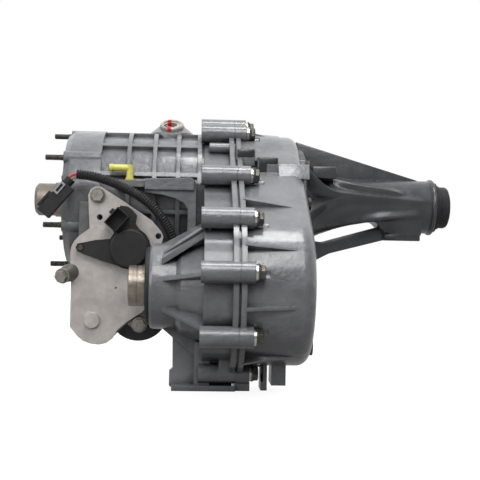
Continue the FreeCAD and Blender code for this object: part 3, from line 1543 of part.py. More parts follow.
def motor_pinion():
    """Pinion and shaft of the shift motor."""
    gear = y_gear(pinion_teeth, train_module, train_y, train_y + train_width, motor_x, motor_z, train_phases()[2])
    shaft = y_cyl(4.0, train_y, gearbox_back_y() + 6.0, motor_x, motor_z)
    return joined([gear, shaft])


def motor_can():
    """Drawn can of the shift motor, with the gland of its lead."""
    start = gearbox_back_y()
    can = y_cyl(motor_r, start, start + motor_length, motor_x, motor_z)
    edge = [e for e in can.Edges if e.BoundBox.YMin > start + motor_length - 0.1]
    can = can.makeFillet(4.0, edge)
    boss = y_cyl(12.0, start + motor_length - 1.0, start + motor_length + 5.0, motor_x, motor_z)
    bore = y_cyl(4.0 + running_gap, start - 1.0, start + 8.0, motor_x, motor_z)
    first, second = conduit_points()[:2]
    way = (second - first).normalize()
    gland = Part.makeCylinder(conduit_d / 2.0 + 2.5, 24.0, first - way * 24.0, way)
    return joined([can, boss, gland]).cut(bore)


def position_sensor():
    """Black position sensor with its tail and square socket."""
    seat = plate_y - plate_thick
    brim = y_cyl(sensor_r + 2.5, seat - 7.0, seat, sensor_x, sensor_z)
    body = y_cyl(sensor_r, seat - 16.0, seat, sensor_x, sensor_z)
    rim = [edge for edge in body.Edges if edge.BoundBox.YMax < seat - 15.9]
    body = body.makeFillet(2.5, rim)
    tail = y_prism([(27.5, -61.5), (50.0, -56.5), (70.0, -54.5), (100.0, -60.0), (100.0, -89.0), (86.0, -91.0),
                    (58.6, -83.4), (36.7, -75.5), (27.5, -71.5), (25.0, -66.5)], seat - 9.0, seat)
    neck = y_prism([(73.0, -44.3), (81.8, -11.1), (91.7, -12.2), (98.5, -17.5), (103.0, -23.8), (101.4, -34.3),
                    (117.1, -55.1), (100.0, -66.0), (80.0, -60.0)], seat - 11.0, seat)
    hole = y_cyl(sector_shaft_r + 0.5, seat - 8.0, seat + 1.0, sector_x, sector_z)
    recess = y_cyl(5.4, seat - 10.0, seat - 7.0, 31.0, -66.5)
    return joined([brim, body, tail, neck, sensor_socket(seat)]).cut([hole, recess])


def sensor_socket(seat):
    """Square socket of the position sensor with its latch lug."""
    shell = block(-9.5, 9.5, seat - 27.0, seat, -13.5, 13.5)
    lug = block(-14.5, -9.0, seat - 14.0, seat, 0.0, 7.0)
    shell = joined([shell, lug]).cut(block(-8.2, 8.2, seat - 28.0, seat - 11.0, -12.2, 12.2))
    shell.rotate(V(0, 0, 0), V(0, 1, 0), socket_tilt)
    shell.translate(V(socket_x, 0, socket_z))
    return shell


def sensor_screw():
    """Small screw in the tail of the position sensor."""
    seat = plate_y - plate_thick - 7.0
    return y_cyl(3.6, seat - 2.4, seat - 0.02, 31.0, -66.5)


def conduit_points():
    """Route of the conduit from the motor can to the front of the barrel."""
    return [
        V(144.0, -84.6, -120.9),
        V(150.5, -90.5, -109.0),
        V(155.0, -99.0, -94.0),
        V(156.5, -108.0, -77.0),
        V(152.5, -117.0, -58.0),
        V(143.5, -124.0, -37.0),
        V(130.0, -128.0, -18.0),
        V(111.5, -129.0, -1.0),
        V(86.0, -127.5, 12.5),
        V(61.0, -125.0, 22.5),
        V(41.0, -122.5, 27.6),
        V(24.0, -121.0, 29.0),
    ]


def conduit():
    """Convoluted conduit of the motor lead, plain here."""
    wire, radii = rounded_wire(conduit_points())
    print("conduit length", round(wire.Length, 1), "radii", [round(r, 1) for r in radii])
    tube = pipe(wire, conduit_d / 2.0)
    print("conduit volume ratio", round(tube.Volume / (wire.Length * math.pi * (conduit_d / 2.0) ** 2), 4))
    return tube


def connector_point(along, rise):
    """Point of the connector at a distance back towards its wires and up across it."""
    turn = math.radians(connector_tilt)
    x = connector_x + along * math.cos(turn) - rise * math.sin(turn)
    return V(x, connector_y, connector_z + along * math.sin(turn) + rise * math.cos(turn))


def lead_wires():
    """Two short wires from the conduit to the connector."""
    first, last = conduit_points()[-2:]
    way = (last - first).normalize()
    socket = connector_point(connector_rear + seat_gap, lead_rise)
    side = V(0, 1, 0)
    wires = []
    for offset in (-2.0, 2.0):
        start = last + way * seat_gap + side * offset
        end = socket + side * offset
        wires.append(pipe(rounded_wire([start, start + way * 4.5, end])[0], 1.2))
    return group(wires)


def along_connector(shape):
    """Place a shape drawn along -X from the wire end of the connector."""
    shape.rotate(V(0, 0, 0), V(0, 1, 0), -connector_tilt)
    shape.translate(V(connector_x, connector_y, connector_z))
    return shape


def connector_body():
    """Two-way connector housing with its seal and latch lever."""
    shell = block(-50.0, 0.0, -8.0, 8.0, -10.0, 8.0)
    seal = x_cyl(6.5, -1.0, connector_rear, 0.0, lead_rise - 1.0)
    lever = block(-46.0, -24.0, -4.5, 4.5, 9.6, 12.6)
    foot = block(-27.0, -22.0, -4.5, 4.5, 7.0, 12.6)
    whole = joined([shell, seal, lever, foot]).cut(block(-51.0, -30.0, -6.5, 6.5, -8.5, 6.5))
    return along_connector(whole)


def connector_lock():
    """Grey lock frame on the near face of the connector."""
    frame = block(-19.0, -2.0, -9.6, -8.02, 1.0, 8.0).cut(block(-16.5, -4.5, -10.0, -7.5, 2.8, 6.2))
    return along_connector(frame)


def dowel_points():
    """Dowels of the parting joint, as (y, z)."""
    radius = bolt_path_r - 8.5
    return [polar(radius, 40.0), polar(radius, 236.0, front_axis_y, front_axis_z)]


def dowels():
    """Dowels of the parting joint."""
    return group([x_cyl(dowel_r, split_x - 6.0, split_x + 6.0, y, z) for y, z in dowel_points()])


def magnet():
    """Chip magnet in the sump."""
    y, z = polar(lobe_wall_r - case_wall - 12.0, 225.0, front_axis_y, front_axis_z)
    inner_wall = rear_wall_x - case_wall - 2.0
    return x_cyl(11.0, inner_wall - 6.0, inner_wall, y, z)


def front_bearings():
    """Bearing of the front output in its collar."""
    start = collar_face_x + 3.5
    return bearing(front_bearing_bore, front_bearing_od, front_bearing_width, start, front_axis_y, front_axis_z)


def pocket_bearing():
    """Bearing of the front output shaft in the rear case."""
    start = rear_wall_x - 18.7
    return bearing(pocket_bearing_bore, pocket_bearing_od, pocket_bearing_width, start, front_axis_y, front_axis_z)


os.makedirs("parts", exist_ok=True)
save("front_case", front_case())
save("rear_case", rear_case())
save("extension_housing", extension_housing())
save("input_gear", input_gear())
save("input_bearing", bearing(input_bearing_bore, input_bearing_od, input_bearing_width, 2.0))
save("input_seal", input_seal())
save("annulus_gear", annulus_gear())
save("planet_carrier", planet_carrier())
for i in range(planet_count):
    save("planet_gear_" + str(i + 1), planet_gear(i))
save("range_sleeve", range_sleeve())
save("main_shaft", main_shaft())
save("mode_hub", mode_hub())
save("mode_sleeve", mode_sleeve())
save("drive_sprocket", drive_sprocket())
save("driven_sprocket", driven_sprocket())
save("drive_chain", drive_chain())
save("front_output_shaft", front_output_shaft())
save("front_output_slinger", front_output_slinger())
save("front_output_bearing", front_bearings())
save("pocket_bearing", pocket_bearing())
rear_bearing_x = rear_wall_x - 4.0 - rear_bearing_width
save("rear_bearing", bearing(rear_bearing_bore, rear_bearing_od, rear_bearing_width, rear_bearing_x))
save("range_fork", range_fork())
save("mode_fork", mode_fork())
save("shift_rail", shift_rail())
save("sector_plate", sector_plate())
save("sector_shaft", sector_shaft())
save("sector_bush", sector_bush())
save("output_gear", output_gear())
save("idler_gear", idler_gear())
save("motor_pinion", motor_pinion())
save("motor_can", motor_can())
save("gearbox_housing", gearbox_housing())
save("cover_plate", cover_plate())
save("position_sensor", position_sensor())
save("sensor_screw", sensor_screw())
save("motor_bolts", motor_bolts())
save("motor_spacer", motor_spacer())
save("oil_pump", oil_pump())
save("pickup_tube", pickup_tube())
save("magnet", magnet())
save("tone_wheel", tone_wheel())
save("speed_sensor", speed_sensor())
save("rear_seal", rear_seal())
save("dust_boot", dust_boot())
save("tail_bushing", tail_bushing())
save("adapter_studs", adapter_studs())
save("case_bolts", case_bolts())
save("case_washers", case_washers())
save("tail_bolts", tail_bolts())
save("dowels", dowels())
save("fill_plug", fill_plug())
save("drain_plug", drain_plug())
save("vent", vent())
save("conduit", conduit())
save("lead_wires", lead_wires())
save("connector_body", connector_body())
save("connector_lock", connector_lock())
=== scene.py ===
"""Looks of a four-wheel-drive transfer case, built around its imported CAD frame.

The castings are in grey enamel. The shift motor sits on the near side under its pressed cover, and its
corrugated lead climbs over the barrel to a two-way connector.
"""

import json
import logging
import math
from dataclasses import dataclass
from enum import Enum

import bmesh
import bpy
from mathutils import Matrix, Vector

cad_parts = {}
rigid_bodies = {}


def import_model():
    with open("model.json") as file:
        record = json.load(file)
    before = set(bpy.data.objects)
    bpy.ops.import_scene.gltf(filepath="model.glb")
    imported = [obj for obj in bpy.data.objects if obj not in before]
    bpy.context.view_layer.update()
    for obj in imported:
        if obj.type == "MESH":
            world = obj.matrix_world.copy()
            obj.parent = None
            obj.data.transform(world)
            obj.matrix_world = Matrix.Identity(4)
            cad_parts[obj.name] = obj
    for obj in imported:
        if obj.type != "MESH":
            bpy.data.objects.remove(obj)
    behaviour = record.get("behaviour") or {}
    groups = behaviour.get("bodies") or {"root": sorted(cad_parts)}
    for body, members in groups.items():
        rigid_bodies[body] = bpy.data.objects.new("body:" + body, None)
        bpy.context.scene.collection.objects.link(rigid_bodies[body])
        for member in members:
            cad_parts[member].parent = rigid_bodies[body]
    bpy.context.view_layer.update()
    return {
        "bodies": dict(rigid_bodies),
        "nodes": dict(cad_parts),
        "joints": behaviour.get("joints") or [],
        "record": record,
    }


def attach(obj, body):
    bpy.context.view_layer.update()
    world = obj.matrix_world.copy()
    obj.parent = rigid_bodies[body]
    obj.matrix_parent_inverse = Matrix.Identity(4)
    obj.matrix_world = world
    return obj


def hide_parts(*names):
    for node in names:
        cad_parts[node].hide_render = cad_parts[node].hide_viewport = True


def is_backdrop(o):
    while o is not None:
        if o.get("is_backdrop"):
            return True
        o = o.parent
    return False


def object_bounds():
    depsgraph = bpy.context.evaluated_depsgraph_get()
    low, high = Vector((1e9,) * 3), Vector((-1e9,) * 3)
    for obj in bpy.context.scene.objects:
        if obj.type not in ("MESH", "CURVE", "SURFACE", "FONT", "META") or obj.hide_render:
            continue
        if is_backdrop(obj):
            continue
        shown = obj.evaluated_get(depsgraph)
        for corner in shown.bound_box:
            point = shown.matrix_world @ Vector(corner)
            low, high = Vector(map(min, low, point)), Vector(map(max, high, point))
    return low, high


MM = 0.001
PHOTO_PIXELS = 480
SENSOR_MM = 36.0
STEPS_PER_RIB = 7.0
LOG = logging.getLogger("transfer_case")

Tree = bpy.types.NodeTree
Socket = bpy.types.NodeSocket
Mesh = bpy.types.Mesh
Piece = bpy.types.Object
Material = bpy.types.Material
Place = tuple[float, float, float]


class Axis(Enum):
    """Direction that a turned or drawn finish runs along."""

    X = "X"
    Y = "Y"
    Z = "Z"


def linear(colour: str) -> tuple[float, float, float, float]:
    """Turn an sRGB hex colour to linear light.

    Args:
        colour: six hex digits after a hash sign.

    Returns:
        Red, green, blue and a full alpha.
    """
    parts = [int(colour[i:i + 2], 16) / 255.0 for i in (1, 3, 5)]
    light = [part / 12.92 if part <= 0.04045 else ((part + 0.055) / 1.055) ** 2.4 for part in parts]
    return (*light, 1.0)


def add(tree: Tree, kind: str, inputs: dict | None = None, **settings) -> bpy.types.Node:
    """Add a node with its settings, and the value or link of each input.

    Args:
        tree: shader or geometry tree.
        kind: node type.
        inputs: input name or number to a value or to the output that feeds it.
        settings: attributes of the node.

    Returns:
        The new node.
    """
    node = tree.nodes.new(kind)
    for key, value in settings.items():
        setattr(node, key, value)
    for key, value in (inputs or {}).items():
        socket = node.inputs[key]
        if isinstance(value, Socket):
            tree.links.new(value, socket)
        else:
            socket.default_value = value
    return node


@dataclass(frozen=True)
class Finish:
    """Surface of one real material: its colour, patches, gloss and grain."""

    name: str
    colour: str
    patch: str
    metallic: float = 0.0
    roughness: float = 0.5
    swing: float = 0.1
    patch_mm: float = 18.0
    grain_mm: float = 1.2
    grain_depth_mm: float = 0.03
    edge_mm: float = 0.0
    coat: float = 0.0
    coat_roughness: float = 0.22

    def material(self) -> Material:
        """Build the material, or give the one already built.

        Returns:
            The material of this finish.
        """
        made = bpy.data.materials.get(self.name)
        if made:
            return made
        made = bpy.data.materials.new(self.name)
        made.use_nodes = True
        tree = made.node_tree
        tree.nodes.clear()
        place = add(tree, "ShaderNodeTexCoord").outputs["Object"]
        surface = add(tree, "ShaderNodeBsdfPrincipled", {
            "Base Color": self.tint(tree, place),
            "Metallic": self.metallic,
            "Roughness": self.gloss(tree, place),
            "Normal": self.relief(tree, place),
            "Specular IOR Level": 0.5 if self.metallic else 0.35,
            "Coat Weight": self.coat,
            "Coat Roughness": self.coat_roughness,
        })
        add(tree, "ShaderNodeOutputMaterial", {"Surface": surface.outputs["BSDF"]})
        return made

    def patches(self, tree: Tree, place: Socket) -> Socket:
        """Soft uneven patches, from 0 to 1."""
        noise = add(tree, "ShaderNodeTexNoise", {
            "Vector": place, "Scale": 1.0 / (self.patch_mm * MM), "Detail": 5.0, "Roughness": 0.6})
        spread = add(tree, "ShaderNodeMapRange", {
            "Value": noise.outputs[0], "From Min": 0.35, "From Max": 0.65})
        return spread.outputs["Result"]

    def tint(self, tree: Tree, place: Socket) -> Socket:
        """Colour over the surface, its two tones mixed by the patches."""
        mixed = add(tree, "ShaderNodeMix", {
            0: self.patches(tree, place), 6: linear(self.colour), 7: linear(self.patch)}, data_type="RGBA")
        return mixed.outputs[2]

    def gloss(self, tree: Tree, place: Socket) -> Socket:
        """Roughness that swings over the surface."""
        noise = add(tree, "ShaderNodeTexNoise", {
            "Vector": place, "Scale": 3.0 / (self.patch_mm * MM), "Detail": 4.0})
        spread = add(tree, "ShaderNodeMapRange", {
            "Value": noise.outputs[0], "From Min": 0.3, "From Max": 0.7,
            "To Min": self.roughness - self.swing, "To Max": self.roughness + self.swing})
        return spread.outputs["Result"]

    def height(self, tree: Tree, place: Socket) -> Socket:
        """Grain height from 0 to 1."""
        noise = add(tree, "ShaderNodeTexNoise", {
            "Vector": place, "Scale": 1.0 / (self.grain_mm * MM), "Detail": 3.0, "Roughness": 0.6})
        return noise.outputs[0]

    def rounded(self, tree: Tree) -> dict:
        """Normal input that softens sharp edges, where this finish has any."""
        if not self.edge_mm:
            return {}
        return {"Normal": add(tree, "ShaderNodeBevel", {"Radius": self.edge_mm * MM}, samples=4).outputs[0]}

    def relief(self, tree: Tree, place: Socket) -> Socket:
        """Surface normal with the grain and softened edges."""
        inputs = {"Height": self.height(tree, place), "Distance": self.grain_depth_mm * MM, "Strength": 1.0}
        return add(tree, "ShaderNodeBump", inputs | self.rounded(tree)).outputs["Normal"]


@dataclass(frozen=True)
class CornerShaded(Finish):
    """Finish with painted shade where it meets what it sits on, darker in its corners."""

    # Colour of the painted shade in corners.
    corner: str = "#1f2022"
    corner_shade_mm: float = 4.0

    def tint(self, tree: Tree, place: Socket) -> Socket:
        """Colour that darkens in corners, as painted shade.

        Args:
            tree: the material's tree.
            place: object coordinates.

        Returns:
            A colour output.
        """
        even = Finish.tint(self, tree, place)
        # Ambient occlusion sets where the painted shade falls.
        hollow = add(tree, "ShaderNodeAmbientOcclusion", {"Distance": self.corner_shade_mm * MM}, samples=6)
        share = add(tree, "ShaderNodeMapRange", {
            "Value": hollow.outputs["AO"], "From Min": 0.15, "From Max": 0.8, "To Min": 1.0, "To Max": 0.0})
        mixed = add(tree, "ShaderNodeMix", {0: share.outputs["Result"], 6: even, 7: linear(self.corner)},
                    data_type="RGBA")
        return mixed.outputs[2]


@dataclass(frozen=True)
class CastEnamel(CornerShaded):
    """Sprayed enamel over a sand-cast skin: grainy, with painted shade in its corners."""

    corner_shade_mm: float = 14.0
    lump_mm: float = 9.0
    lump_rise: float = 4.0

    def height(self, tree: Tree, place: Socket) -> Socket:
        """Sand grain on long low lumps.

        Args:
            tree: the material's tree.
            place: object coordinates.

        Returns:
            A height output.
        """
        grain = Finish.height(self, tree, place)
        lump = add(tree, "ShaderNodeTexNoise", {
            "Vector": place, "Scale": 1.0 / (self.lump_mm * MM), "Detail": 2.0})
        whole = add(tree, "ShaderNodeMath", {0: lump.outputs[0], 1: self.lump_rise, 2: grain},
                    operation="MULTIPLY_ADD")
        return whole.outputs[0]


@dataclass(frozen=True)
class Turned(Finish):
    """Metal turned on a lathe: fine rings across its axis."""

    axis: Axis = Axis.X
    ring_mm: float = 0.9
    bands_per_unit: float = 20.0

    def height(self, tree: Tree, place: Socket) -> Socket:
        """Tool rings, coarser than real so that they show."""
        rings = add(tree, "ShaderNodeTexWave", {
            "Vector": place, "Scale": 1.0 / (self.bands_per_unit * self.ring_mm * MM), "Distortion": 0.4,
            "Detail": 2.0}, wave_type="BANDS", bands_direction=self.axis.value)
        return rings.outputs["Fac"]


@dataclass(frozen=True)
class Rolled(Finish):
    """Sheet with a faint grain along one axis from rolling and handling."""

    axis: Axis = Axis.Z
    stretch: float = 14.0

    def height(self, tree: Tree, place: Socket) -> Socket:
        """Fine lines along the rolling direction."""
        scale = [1.0 if axis is not self.axis else 1.0 / self.stretch for axis in Axis]
        drawn = add(tree, "ShaderNodeMapping", {"Vector": place, "Scale": scale})
        return Finish.height(self, tree, drawn.outputs["Vector"])


@dataclass(frozen=True)
class Marked(Finish):
    """Plated plug with painted shade in a ring for its sunken socket, and a stripe of inspection paint across
    its face.
    """

    dab: str = "#a8262a"
    # Colour of the painted shade in the socket ring.
    well_shade: str = "#19191a"
    axis_mm: Place = (0.0, 0.0, 0.0)
    stripe_mm: float = 3.2
    soft_mm: float = 0.4
    rag_mm: float = 4.0
    rag_depth_mm: float = 1.6
    well_mm: tuple[float, float] = (5.0, 8.0)

    def tint(self, tree: Tree, place: Socket) -> Socket:
        """Colour with the painted shade of the socket and the ragged stripe.

        Args:
            tree: the material's tree.
            place: object coordinates.

        Returns:
            A colour output.
        """
        even = Finish.tint(self, tree, place)
        local = add(tree, "ShaderNodeVectorMath", {0: place, 1: [c * MM for c in self.axis_mm]},
                    operation="SUBTRACT")
        flat = add(tree, "ShaderNodeVectorMath", {0: local.outputs[0], 1: (1.0, 1.0, 0.0)},
                   operation="MULTIPLY")
        away = add(tree, "ShaderNodeVectorMath", {0: flat.outputs[0]}, operation="LENGTH")
        low, high = self.well_mm
        ring = add(tree, "ShaderNodeMath", {
            0: away.outputs["Value"], 1: (low + high) / 2.0 * MM, 2: (high - low) / 2.0 * MM},
            operation="COMPARE")
        # The socket ring is painted shade.
        shaded_well = add(tree, "ShaderNodeMix", {0: ring.outputs[0], 6: even, 7: linear(self.well_shade)},
                   data_type="RGBA")
        ragged = add(tree, "ShaderNodeTexNoise", {
            "Vector": place, "Scale": 1.0 / (self.rag_mm * MM), "Detail": 3.0})
        parts = add(tree, "ShaderNodeSeparateXYZ", {0: local.outputs[0]})
        across = add(tree, "ShaderNodeMath", {0: parts.outputs["X"]}, operation="ABSOLUTE")
        reach = add(tree, "ShaderNodeMath", {
            0: ragged.outputs[0], 1: self.rag_depth_mm * MM, 2: across.outputs[0]}, operation="MULTIPLY_ADD")
        share = add(tree, "ShaderNodeMapRange", {
            "Value": reach.outputs[0], "From Min": self.stripe_mm * MM,
            "From Max": (self.stripe_mm + self.soft_mm) * MM, "To Min": 1.0, "To Max": 0.0})
        mixed = add(tree, "ShaderNodeMix", {
            0: share.outputs["Result"], 6: shaded_well.outputs[2], 7: linear(self.dab)}, data_type="RGBA")
        return mixed.outputs[2]


# Sprayed grey enamel on cast aluminium: satin, slightly blue, fine sand grain under it, with painted shade in
# its corners.
ENAMEL = CastEnamel("grey_enamel_on_casting", "#76777a", "#66676a",
                    0.15, 0.38, 0.1, 30.0, 1.9, 0.3, 2.4, 0.6, 0.14)
# The same enamel on the tail casting, painted darker as painted shade for the light that falls off over the
# tail.
SHADED_TAIL_ENAMEL = CastEnamel("tail_enamel_darkened_as_painted_shade", "#4b4c4f", "#404144",
                         0.25, 0.38, 0.08, 42.0, 2.2, 0.12, 2.4, 0.4, 0.14)
# Enamel on the lugs painted near black as painted shade, for faces that see only the dark room.
SHADED_LUG_ENAMEL = CastEnamel("lug_enamel_darkened_as_painted_shade", "#202124", "#1a1b1d",
                        0.1, 0.42, 0.08, 30.0, 1.9, 0.2, 2.0, 0.4, 0.2)
# Enamel on the ledge, painted lighter than the walls as a painted highlight for the light it catches, over a
# slightly deeper grain.
LIT_LEDGE_ENAMEL = CastEnamel("ledge_enamel_lightened_as_painted_highlight", "#929396", "#7c7d80",
                          0.2, 0.36, 0.1, 12.0, 1.9, 0.4, 2.0, 0.8, 0.14)
# Natural die-cast aluminium: duller and warmer than the enamel, with painted shade in its corners.
DIE_CAST = CastEnamel("die_cast_aluminium", "#8f8a84", "#7c7771", 0.75, 0.5, 0.08, 15.0, 1.4, 0.05, 0.8)
# Pressed aluminium sheet: warm pale grey, flat sheen, faint rolling lines.
SHEET = Rolled("pressed_aluminium_sheet", "#ccc6c1", "#b5afab", 0.35, 0.46, 0.1, 16.0, 0.5, 0.02, 0.8)
# Turned bearing steel: bright, with rings across the shaft.
SHAFT = Turned("turned_shaft_steel", "#9a9288", "#857c71", 0.9, 0.42, 0.08, 12.0, 0.6, 0.05, 0.4)
# Ground alloy steel of gears and rails: clean and cool.
GEAR = Finish("ground_gear_steel", "#a7a8aa", "#8d8e90", 1.0, 0.3, 0.06, 10.0, 0.8, 0.01, 0.3)
# Blued roller-chain steel: darker, oily.
CHAIN = Finish("blued_chain_steel", "#5c5a57", "#474644", 1.0, 0.34, 0.08, 8.0, 0.8, 0.02, 0.2)
# Manganese-phosphated bolts: olive black, dull, with rubbed corners.
PHOSPHATE = Finish("phosphated_bolt_steel", "#6a675f", "#4b4943", 0.85, 0.46, 0.1, 5.0, 0.7, 0.02, 0.5)
# Zinc-plated bolts of the motor: pale and satin, with painted shade where they meet what they sit on.
ZINC_BOLT = CornerShaded("zinc_plated_bolt", "#aaa69f", "#8b877e", 0.6, 0.4, 0.08, 5.0, 0.7, 0.03, 0.6,
                   corner_shade_mm=5.0)
# Zinc-plated washers: bright.
ZINC = Finish("zinc_plated_washer", "#c9c9c6", "#b0b0ac", 1.0, 0.3, 0.08, 6.0, 0.7, 0.01, 0.4)
# Sintered bronze bush.
BRONZE = Finish("sintered_bronze", "#a3825a", "#8a6b47", 1.0, 0.4, 0.08, 6.0, 0.6, 0.02, 0.3)
# Glass-filled nylon, moulded: near black with a fine spark-eroded grain.
NYLON = Finish("moulded_black_nylon", "#2b2b2c", "#242425", 0.0, 0.48, 0.06, 14.0, 0.5, 0.025, 0.6)
# Polyethylene conduit: black and a little waxy, so each rib catches the light.
CONDUIT_PLASTIC = Finish("black_polyethylene_conduit", "#1d1d1e", "#262627", 0.0, 0.34, 0.05, 9.0, 0.6, 0.01)
# Black electro-coat on the drawn motor can.
CAN_COAT = Finish("black_electrocoat_on_steel", "#212123", "#2a2a2c", 0.1, 0.4, 0.06, 20.0, 0.9, 0.02, 0.6)
# Nitrile rubber of seals and boots: soft black, dusty.
RUBBER = Finish("nitrile_rubber", "#252527", "#303032", 0.0, 0.62, 0.06, 8.0, 0.6, 0.03, 0.5)
# Natural nylon breather: waxy pale yellow.
BREATHER = Finish("pale_yellow_nylon", "#d9d573", "#c9c460", 0.0, 0.38, 0.05, 8.0, 0.6, 0.01, 0.5)
# Acetal lock of the connector: light grey.
LOCK = Finish("grey_acetal_lock", "#a9a5ab", "#9b979d", 0.0, 0.42, 0.05, 6.0, 0.5, 0.01, 0.3)
# PVC insulation of the two leads.
RED_LEAD = Finish("red_pvc_insulation", "#d83a3e", "#c62f34", 0.0, 0.36, 0.05, 4.0, 0.5, 0.005)
TAN_LEAD = Finish("tan_pvc_insulation", "#b3a184", "#a39173", 0.0, 0.36, 0.05, 4.0, 0.5, 0.005)
# Zinc-plated plug with a stripe of red inspection paint, and painted shade in a ring for its sunken socket.
PLUG_PAINT = Marked("marked_plated_plug", "#b9b6af", "#a5a29b", 0.5, 0.45, 0.08, 6.0, 0.8, 0.02, 0.5,
                    dab="#c2302c", axis_mm=(140.0, -9.0, 118.0))
# Ferrite magnet of the sump.
FERRITE = Finish("ferrite_magnet", "#3a3a3c", "#303032", 0.4, 0.55, 0.05, 5.0, 0.6, 0.02)


def dress(frame: dict, finish: Finish, *nodes: str) -> None:
    """Give CAD nodes one finish.

    Args:
        frame: the loaded frame.
        finish: finish of these nodes.
        nodes: names of the nodes.
    """
    material = finish.material()
    for name in nodes:
        mesh = frame["nodes"][name].data
        mesh.materials.clear()
        mesh.materials.append(material)
    LOG.info("%s on %s", finish.name, ", ".join(nodes))


def placed(name: str, data: bpy.types.ID) -> Piece:
    """Make an object of some data and link it to the scene.

    Args:
        name: name of the object.
        data: its mesh, curve, lamp or camera.

    Returns:
        The new object.
    """
    made = bpy.data.objects.new(name, data)
    bpy.context.scene.collection.objects.link(made)
    return made


def piece_of(name: str, mesh: Mesh, finish: Finish | None = None) -> Piece:
    """Link a mesh as a piece, with its finish.

    Args:
        name: name of the piece.
        mesh: its mesh, in the frame's place.
        finish: its finish, where the mesh has none yet.

    Returns:
        The new object.
    """
    piece = placed(name, mesh)
    if finish:
        mesh.materials.clear()
        mesh.materials.append(finish.material())
    LOG.info("piece %s has %d faces", name, len(mesh.polygons))
    return piece


def settled(holder: Piece) -> Mesh:
    """Apply an object's modifiers and remove the object.

    Args:
        holder: the object.

    Returns:
        The plain mesh that is left.
    """
    graph = bpy.context.evaluated_depsgraph_get()
    mesh = bpy.data.meshes.new_from_object(holder.evaluated_get(graph), depsgraph=graph)
    bpy.data.objects.remove(holder)
    return mesh


def solid_boxes(node: Piece) -> list[tuple[Vector, Vector]]:
    """Boxes of the separate solids of a CAD node.

    Args:
        node: the CAD node.

    Returns:
        Lowest and highest corner of each solid, in order of place, so that each run is alike.
    """
    body = bmesh.new()
    body.from_mesh(node.data)
    bmesh.ops.remove_doubles(body, verts=body.verts, dist=0.01 * MM)
    left = set(body.verts)
    boxes = []
    while left:
        waiting = [left.pop()]
        found = []
        while waiting:
            corner = waiting.pop()
            found.append(corner.co.copy())
            for edge in corner.link_edges:
                other = edge.other_vert(corner)
                if other in left:
                    left.remove(other)
                    waiting.append(other)
        low = Vector([min(point[i] for point in found) for i in range(3)])
        high = Vector([max(point[i] for point in found) for i in range(3)])
        boxes.append((low, high))
    body.free()
    return sorted(boxes, key=lambda box: [round(value / MM, 1) for value in box[0]])


def geometry_tree(name: str, sockets: dict[str, str]) -> tuple[Tree, dict]:
    """Start a Geometry Nodes tree with named inputs.

    Args:
        name: name of the tree.
        sockets: input name to socket type.

    Returns:
        The tree, and its inputs by name.
    """
    tree = bpy.data.node_groups.new(name, "GeometryNodeTree")
    tree.interface.new_socket("Geometry", in_out="INPUT", socket_type="NodeSocketGeometry")
    for label, kind in sockets.items():
        tree.interface.new_socket(label, in_out="INPUT", socket_type=kind)
    tree.interface.new_socket("Geometry", in_out="OUTPUT", socket_type="NodeSocketGeometry")
    start = tree.nodes.new("NodeGroupInput")
    return tree, {socket.name: socket for socket in start.outputs}


def finish_tree(tree: Tree, shape: Socket, material: Socket) -> None:
    """End a tree in real geometry with its material.

    Args:
        tree: the tree.
        shape: geometry to give out.
        material: the material input.
    """
    real = add(tree, "GeometryNodeRealizeInstances", {"Geometry": shape})
    coated = add(tree, "GeometryNodeSetMaterial", {
        "Geometry": real.outputs["Geometry"], "Material": material})
    add(tree, "NodeGroupOutput", {0: coated.outputs["Geometry"]})


def grown(name: str, tree: Tree, seedling: Mesh, sizes: dict) -> Piece:
    """Run a tree on a mesh and keep the result as a plain piece.

    Args:
        name: name of the piece.
        tree: Geometry Nodes tree.
        seedling: points or line that the tree starts from.
        sizes: input name to value.

    Returns:
        The finished piece.
    """
    holder = placed(name + "_holder", seedling)
    modifier = holder.modifiers.new(tree.name, "NODES")
    modifier.node_group = tree
    for item in tree.interface.items_tree:
        if item.in_out == "INPUT" and item.name in sizes:
            modifier[item.identifier] = sizes[item.name]
    mesh = settled(holder)
    mesh.name = name
    return piece_of(name, mesh)


def points_mesh(name: str, points: list[Vector], joined: bool = False) -> Mesh:
    """Mesh of bare points, or of a line through them.

    Args:
        name: name of the mesh.
        points: places in metres.
        joined: whether edges join them in order.

    Returns:
        The mesh.
    """
    mesh = bpy.data.meshes.new(name)
    edges = [(i, i + 1) for i in range(len(points) - 1)] if joined else []
    mesh.from_pydata([tuple(point) for point in points], edges, [])
    return mesh


@dataclass(frozen=True)
class Ring:
    """One ring of a lathed mesh: its place along X, its radius, and its hexagon and thread."""

    x: float
    radius: float
    hexed: bool = False
    thread: float = 0.0
    hex_size: float = 1.09

    def point(self, angle: float, pitch: float) -> Place:
        """Point of the ring in millimetres at one angle.

        Args:
            angle: angle round X in radians.
            pitch: thread pitch.

        Returns:
            The point.
        """
        radius = self.radius
        if self.hexed:
            corner = math.fmod(angle, math.pi / 3.0) - math.pi / 6.0
            flat = radius * math.cos(math.pi / 6.0) * self.hex_size / math.cos(corner)
            radius = min(radius * self.hex_size, flat)
        if self.thread:
            turn = math.fmod(self.x / pitch - angle / (2.0 * math.pi) + 100.0, 1.0)
            radius -= self.thread * abs(2.0 * turn - 1.0)
        return self.x, radius * math.cos(angle), radius * math.sin(angle)


